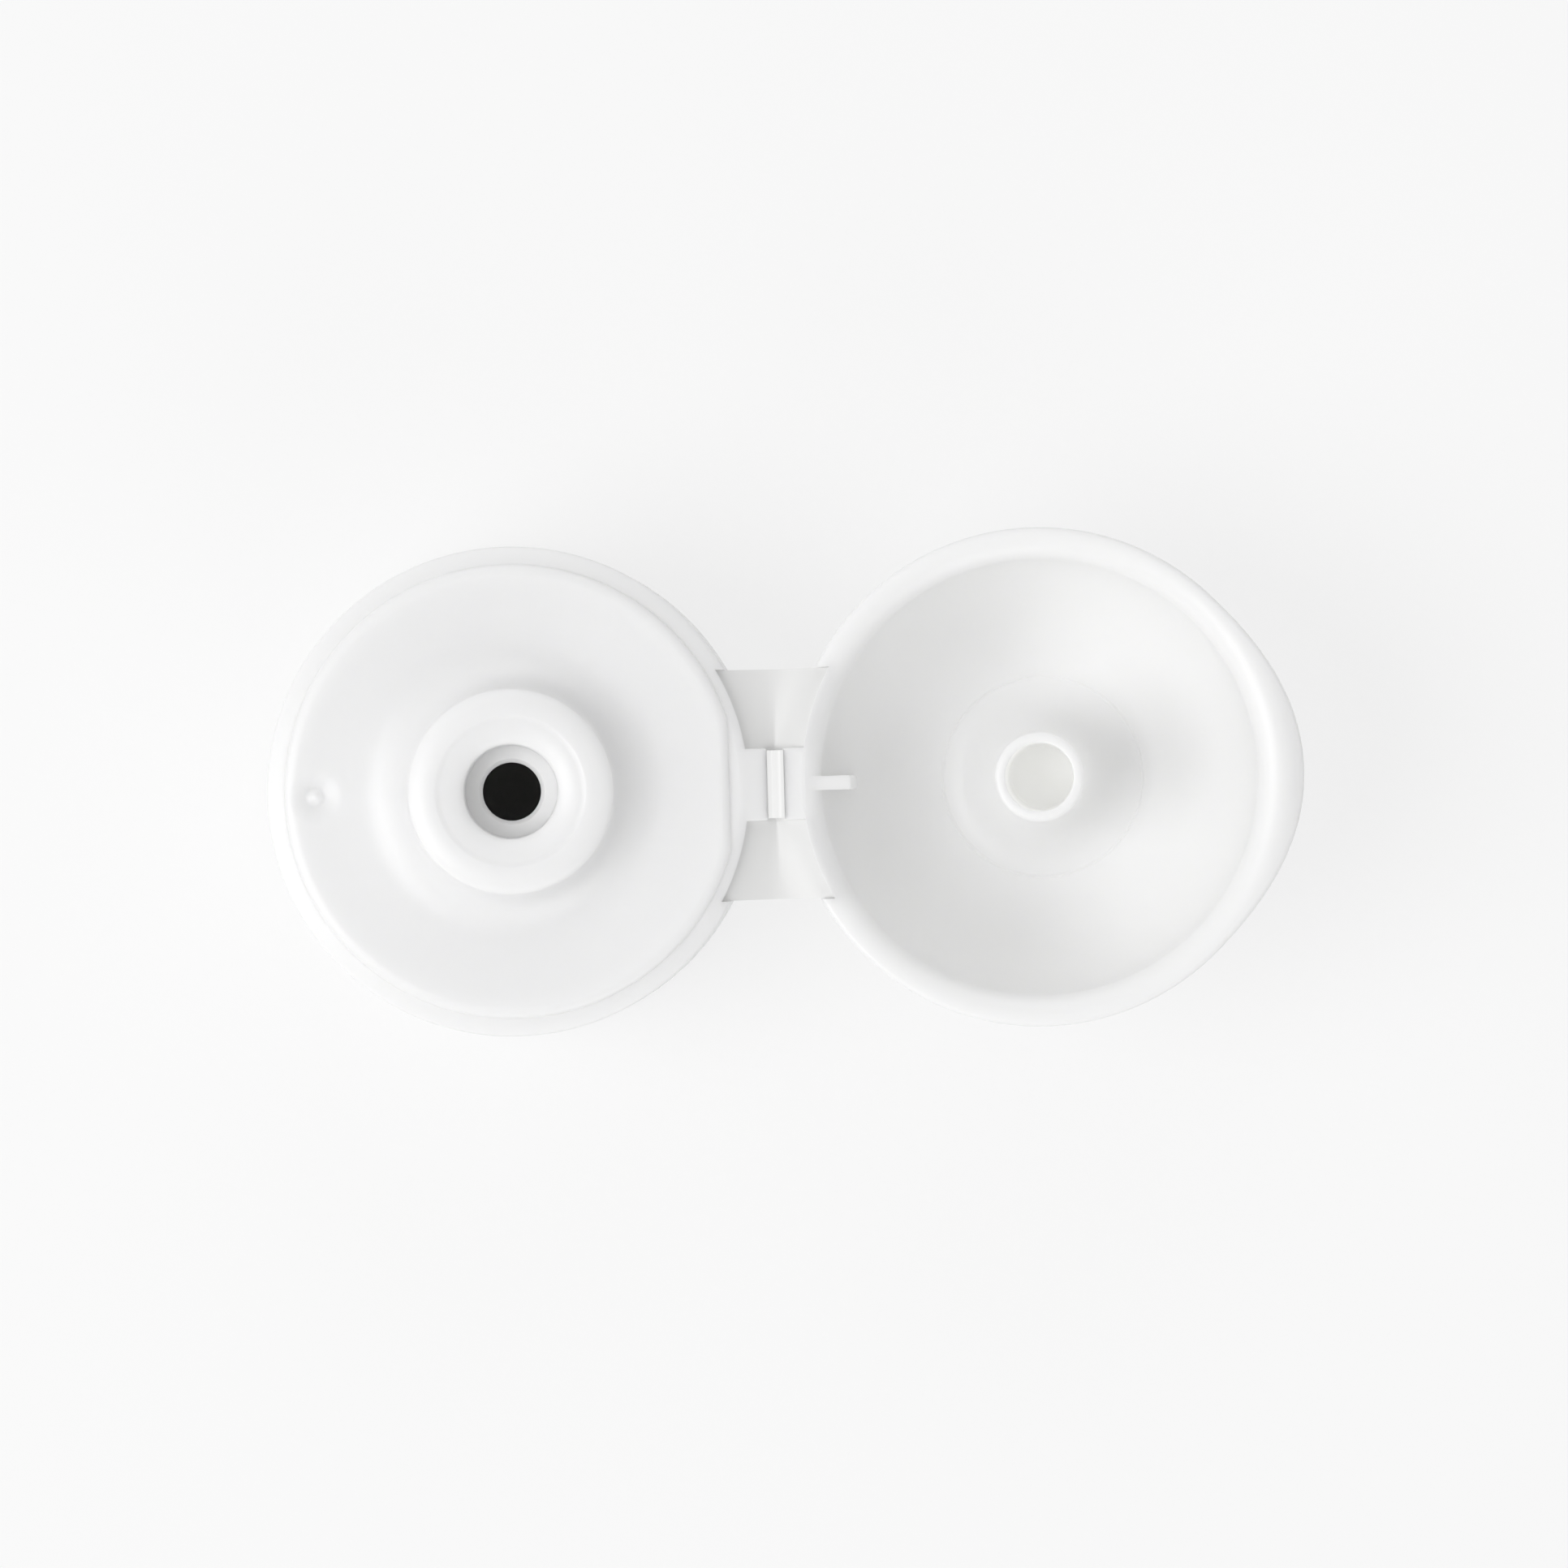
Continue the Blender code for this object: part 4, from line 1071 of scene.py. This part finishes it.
def add_floor(stage):
    """A pale floor that keeps the cap's shadow and is seen near white beyond the skirt."""
    deselect_all()
    bpy.ops.mesh.primitive_plane_add(size=FLOOR_SIZE)
    floor = bpy.context.active_object
    floor.name = "floor"
    finish = Finish("floor_white")
    finish.tree.nodes.remove(finish.shader)
    diffuse = finish.node("ShaderNodeBsdfDiffuse", None, {"Color": FLOOR_COLOUR})
    white = finish.node("ShaderNodeEmission")
    from_axis = finish.node(
        "ShaderNodeVectorMath", {"operation": "LENGTH"}, {0: finish.place((CAP_AXIS_X, 0.0, 0.0))}, "Value"
    )
    outside = finish.range(from_axis, SKIRT_FOOT_R - MM, SKIRT_FOOT_R, 0.0, stage.floor_white)
    seen = finish.node("ShaderNodeLightPath", output="Is Camera Ray")
    for ray in MIRROR_RAYS:
        seen = seen.calculate("MAXIMUM", seen, finish.node("ShaderNodeLightPath", output=ray))
    both = finish.node("ShaderNodeMixShader", None, {0: seen * outside, 1: diffuse, 2: white})
    finish.tree.links.new(both.socket, finish.tree.nodes["Material Output"].inputs["Surface"])
    floor.data.materials.append(finish.material)


class CAP_OT_body(bpy.types.Operator):
    """Model the screw skirt with its deck, nozzle and thread"""

    bl_idname = "cap.body"
    bl_label = "Cap body"

    def execute(self, context):
        shape = context.scene.cap_shape
        section, roundings = body_section(shape)
        body = turned("body_shell", section, roundings, CAP_AXIS_X, shape.segments, shape.edge_facets)
        apply_place(body)
        cut_deck_flat(body, shape)
        cut_thumb_scoop(body, shape)
        cut_hinge_recess(body, shape, CAP_AXIS_X, SKIRT_HEIGHT - RECESS_HEIGHT, SKIRT_HEIGHT + DECK_RISE / 2)
        end_x = FOLD.x - TAB_GAP_TO_FOLD
        root_x = CAP_AXIS_X + (NECK_R + RECESS_R) / 2
        tab_z = SKIRT_HEIGHT - LEDGE_FALL
        outline = [
            (root_x, SKIRT_HEIGHT - TAB_SET_BACK),
            (end_x, tab_z),
            (end_x, tab_z - TAB_THICKNESS),
            (root_x, tab_z - TAB_THICKNESS),
        ]
        add_tab(body, outline, shape.edge_facets)
        add_thread(body, shape)
        press_gate_mark(body)
        finish_shading(body)
        finish = moulded_plastic("shell_plastic", context.scene.cap_finish, (CAP_AXIS_X, 0.0, 0.0))
        dress(body, finish)
        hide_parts("cap_body")
        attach(body, "body")
        return {"FINISHED"}


class CAP_OT_lid(bpy.types.Operator):
    """Model the domed lid with its plug, rib and thumb lip, and fold it open"""

    bl_idname = "cap.lid"
    bl_label = "Flip lid"

    def execute(self, context):
        shape = context.scene.cap_shape
        section, roundings = lid_section(shape)
        lid = turned("lid_shell", section, roundings, 0.0, shape.segments, shape.edge_facets, closed=False)
        pull_thumb_lip(lid)
        mouth_z = RIM_Z - FOLD.z
        cut_hinge_recess(lid, shape, 0.0, mouth_z - MOUTH_CUT, mouth_z + RECESS_HEIGHT)
        add_lid_rib(lid, shape.edge_facets)
        end_x = HINGE_REACH - TAB_GAP_TO_FOLD
        root_x = RECESS_R - TAB_ROOT_DEPTH
        tab_z = mouth_z + TAB_SET_BACK
        outline = [
            (root_x, tab_z),
            (end_x, tab_z),
            (end_x, tab_z + TAB_THICKNESS),
            (root_x, tab_z + TAB_THICKNESS),
        ]
        add_tab(lid, outline, shape.edge_facets)
        lid.data.transform(Matrix.Translation((-HINGE_REACH, 0.0, 0.0)))
        lid.location = FOLD
        lid.rotation_euler.y = OPEN_ANGLE
        apply_place(lid)
        finish_shading(lid)
        look = context.scene.cap_finish
        turn = Matrix.Rotation(OPEN_ANGLE, 3, "Y")
        mouth = FOLD + turn @ Vector((-HINGE_REACH, 0.0, mouth_z))
        finish = moulded_plastic("lid_plastic", look, tuple(mouth))
        core_end = LID_HEIGHT - PLUG_CORE_FLOOR / 2
        axis = turn @ Vector((0.0, 0.0, 1.0))
        # Painted glow: emission painted into the plug's core in place of the light through its thin wall
        paint_core_glow(finish, mouth, axis, PLUG_R - PLUG_WALL / 2, PLUG_TIP_DEPTH, core_end, look.painted_core_glow)
        dress(lid, finish)
        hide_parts("flip_lid")
        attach(lid, "lid")
        return {"FINISHED"}


def lean_with_lid(point, share):
    """Turns a point about the fold by its share of what the lid lacks of a half turn."""
    turn = Matrix.Rotation(-(math.pi - OPEN_ANGLE) * share, 3, "Y")
    return turn @ (point - FOLD) + FOLD


def film_sheet(name, grid, shape_of):
    """A grid whose points are placed by shape_of(share across the fold, share along it), then thickened."""
    deselect_all()
    bpy.ops.mesh.primitive_grid_add(x_subdivisions=grid[0], y_subdivisions=grid[1], size=1.0)
    film = bpy.context.active_object
    film.name = name
    for vertex in film.data.vertices:
        across = vertex.co.x + 0.5
        along = vertex.co.y + 0.5
        vertex.co = lean_with_lid(Vector(shape_of(across, along)), smooth_share(across))
    bpy.ops.object.modifier_add(type="SOLIDIFY")
    film.modifiers[-1].thickness = FILM_THICKNESS
    film.modifiers[-1].offset = 0.0
    bpy.ops.object.modifier_apply(modifier=film.modifiers[-1].name)
    edit(film)
    close_mesh()
    return film


def web_point(side, sag):
    """The shape of one side web: from wall to wall, sharply folded beside the strap and softly at its outer edge."""

    def place(across, along):
        y = WEB_ROOT_Y + (HINGE_WIDTH / 2 - WEB_ROOT_Y) * along
        wall = math.sqrt((RECESS_R - WEB_SINK) ** 2 - y**2)
        first_x = CAP_AXIS_X + wall
        x = first_x + 2 * (FOLD.x - first_x) * across
        sharpness = WEB_SHARPNESS + WEB_SOFTENING * along
        hang = (1 - abs(2 * across - 1) ** sharpness) * sag
        drop = WEB_DROP + (WEB_LID_DROP - WEB_DROP) * across
        return (x, side * y, SKIRT_HEIGHT - drop - hang)

    return place


def strap_point(across, along):
    """The strap's film: a narrow groove by the body's tab, then a steep rise to the lid's."""
    reach = TAB_GAP_TO_FOLD + STRAP_SINK
    x = FOLD.x + (2 * across - 1) * reach
    y = (TAB_WIDTH / 2 - TAB_ROUND) * (2 * along - 1)
    rise = smooth_share((across - STRAP_RISE_START) / STRAP_RISE_SHARE)
    low_z = SKIRT_HEIGHT - LEDGE_FALL - STRAP_GROOVE - FILM_THICKNESS / 2
    high_z = 2 * FOLD.z - RIM_Z - TAB_SET_BACK + STRAP_PROUD - FILM_THICKNESS / 2
    return (x, y, low_z + (high_z - low_z) * rise)


class CAP_OT_hinge(bpy.types.Operator):
    """Model the thin film of the living hinge: two side webs and the strap's fold"""

    bl_idname = "cap.hinge"
    bl_label = "Living hinge"

    def execute(self, context):
        shape = context.scene.cap_shape
        material = hinge_film(context.scene.cap_finish)
        reach = Vector((WEB_BEND_REACH, 0.0, 0.0))
        for name, side in (("near_web", -1), ("far_web", 1)):
            web = film_sheet(name, WEB_GRID, web_point(side, shape.web_sag))
            self.place_film(web, material, reach)
        strap = film_sheet("strap_fold", STRAP_GRID, strap_point)
        self.place_film(strap, material, Vector((TAB_GAP_TO_FOLD, 0.0, 0.0)))
        return {"FINISHED"}

    def place_film(self, film, material, reach):
        finish_shading(film)
        dress(film, material)
        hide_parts("living_hinge")
        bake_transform(film)


class CAP_PT_panel(bpy.types.Panel):
    """Sizes, finish and steps of the cap"""

    bl_idname = "CAP_PT_panel"
    bl_label = "Flip top cap"
    bl_space_type = "VIEW_3D"
    bl_region_type = "UI"
    bl_category = "Cap"

    def draw(self, context):
        scene = context.scene
        for settings in (scene.cap_shape, scene.cap_finish, scene.cap_stage):
            box = self.layout.box()
            for name in settings.__annotations__:
                box.prop(settings, name)
        for operator in OPERATORS:
            self.layout.operator(operator.bl_idname)


GROUPS = {"cap_shape": CapShape, "cap_finish": CapFinish, "cap_stage": CapStage}
OPERATORS = (CAP_OT_stage, CAP_OT_body, CAP_OT_lid, CAP_OT_hinge)


def register():
    for name, group in GROUPS.items():
        bpy.utils.register_class(group)
        setattr(bpy.types.Scene, name, PointerProperty(type=group))
    for operator in OPERATORS:
        bpy.utils.register_class(operator)
    bpy.utils.register_class(CAP_PT_panel)


def unregister():
    bpy.utils.unregister_class(CAP_PT_panel)
    for operator in reversed(OPERATORS):
        bpy.utils.unregister_class(operator)
    for name, group in GROUPS.items():
        delattr(bpy.types.Scene, name)
        bpy.utils.unregister_class(group)


def main():
    register()
    bpy.context.scene.view_settings.view_transform = "Standard"
    bpy.ops.cap.stage()
    bpy.ops.cap.body()
    bpy.ops.cap.lid()
    bpy.ops.cap.hinge()


if __name__ == "__main__":
    main()
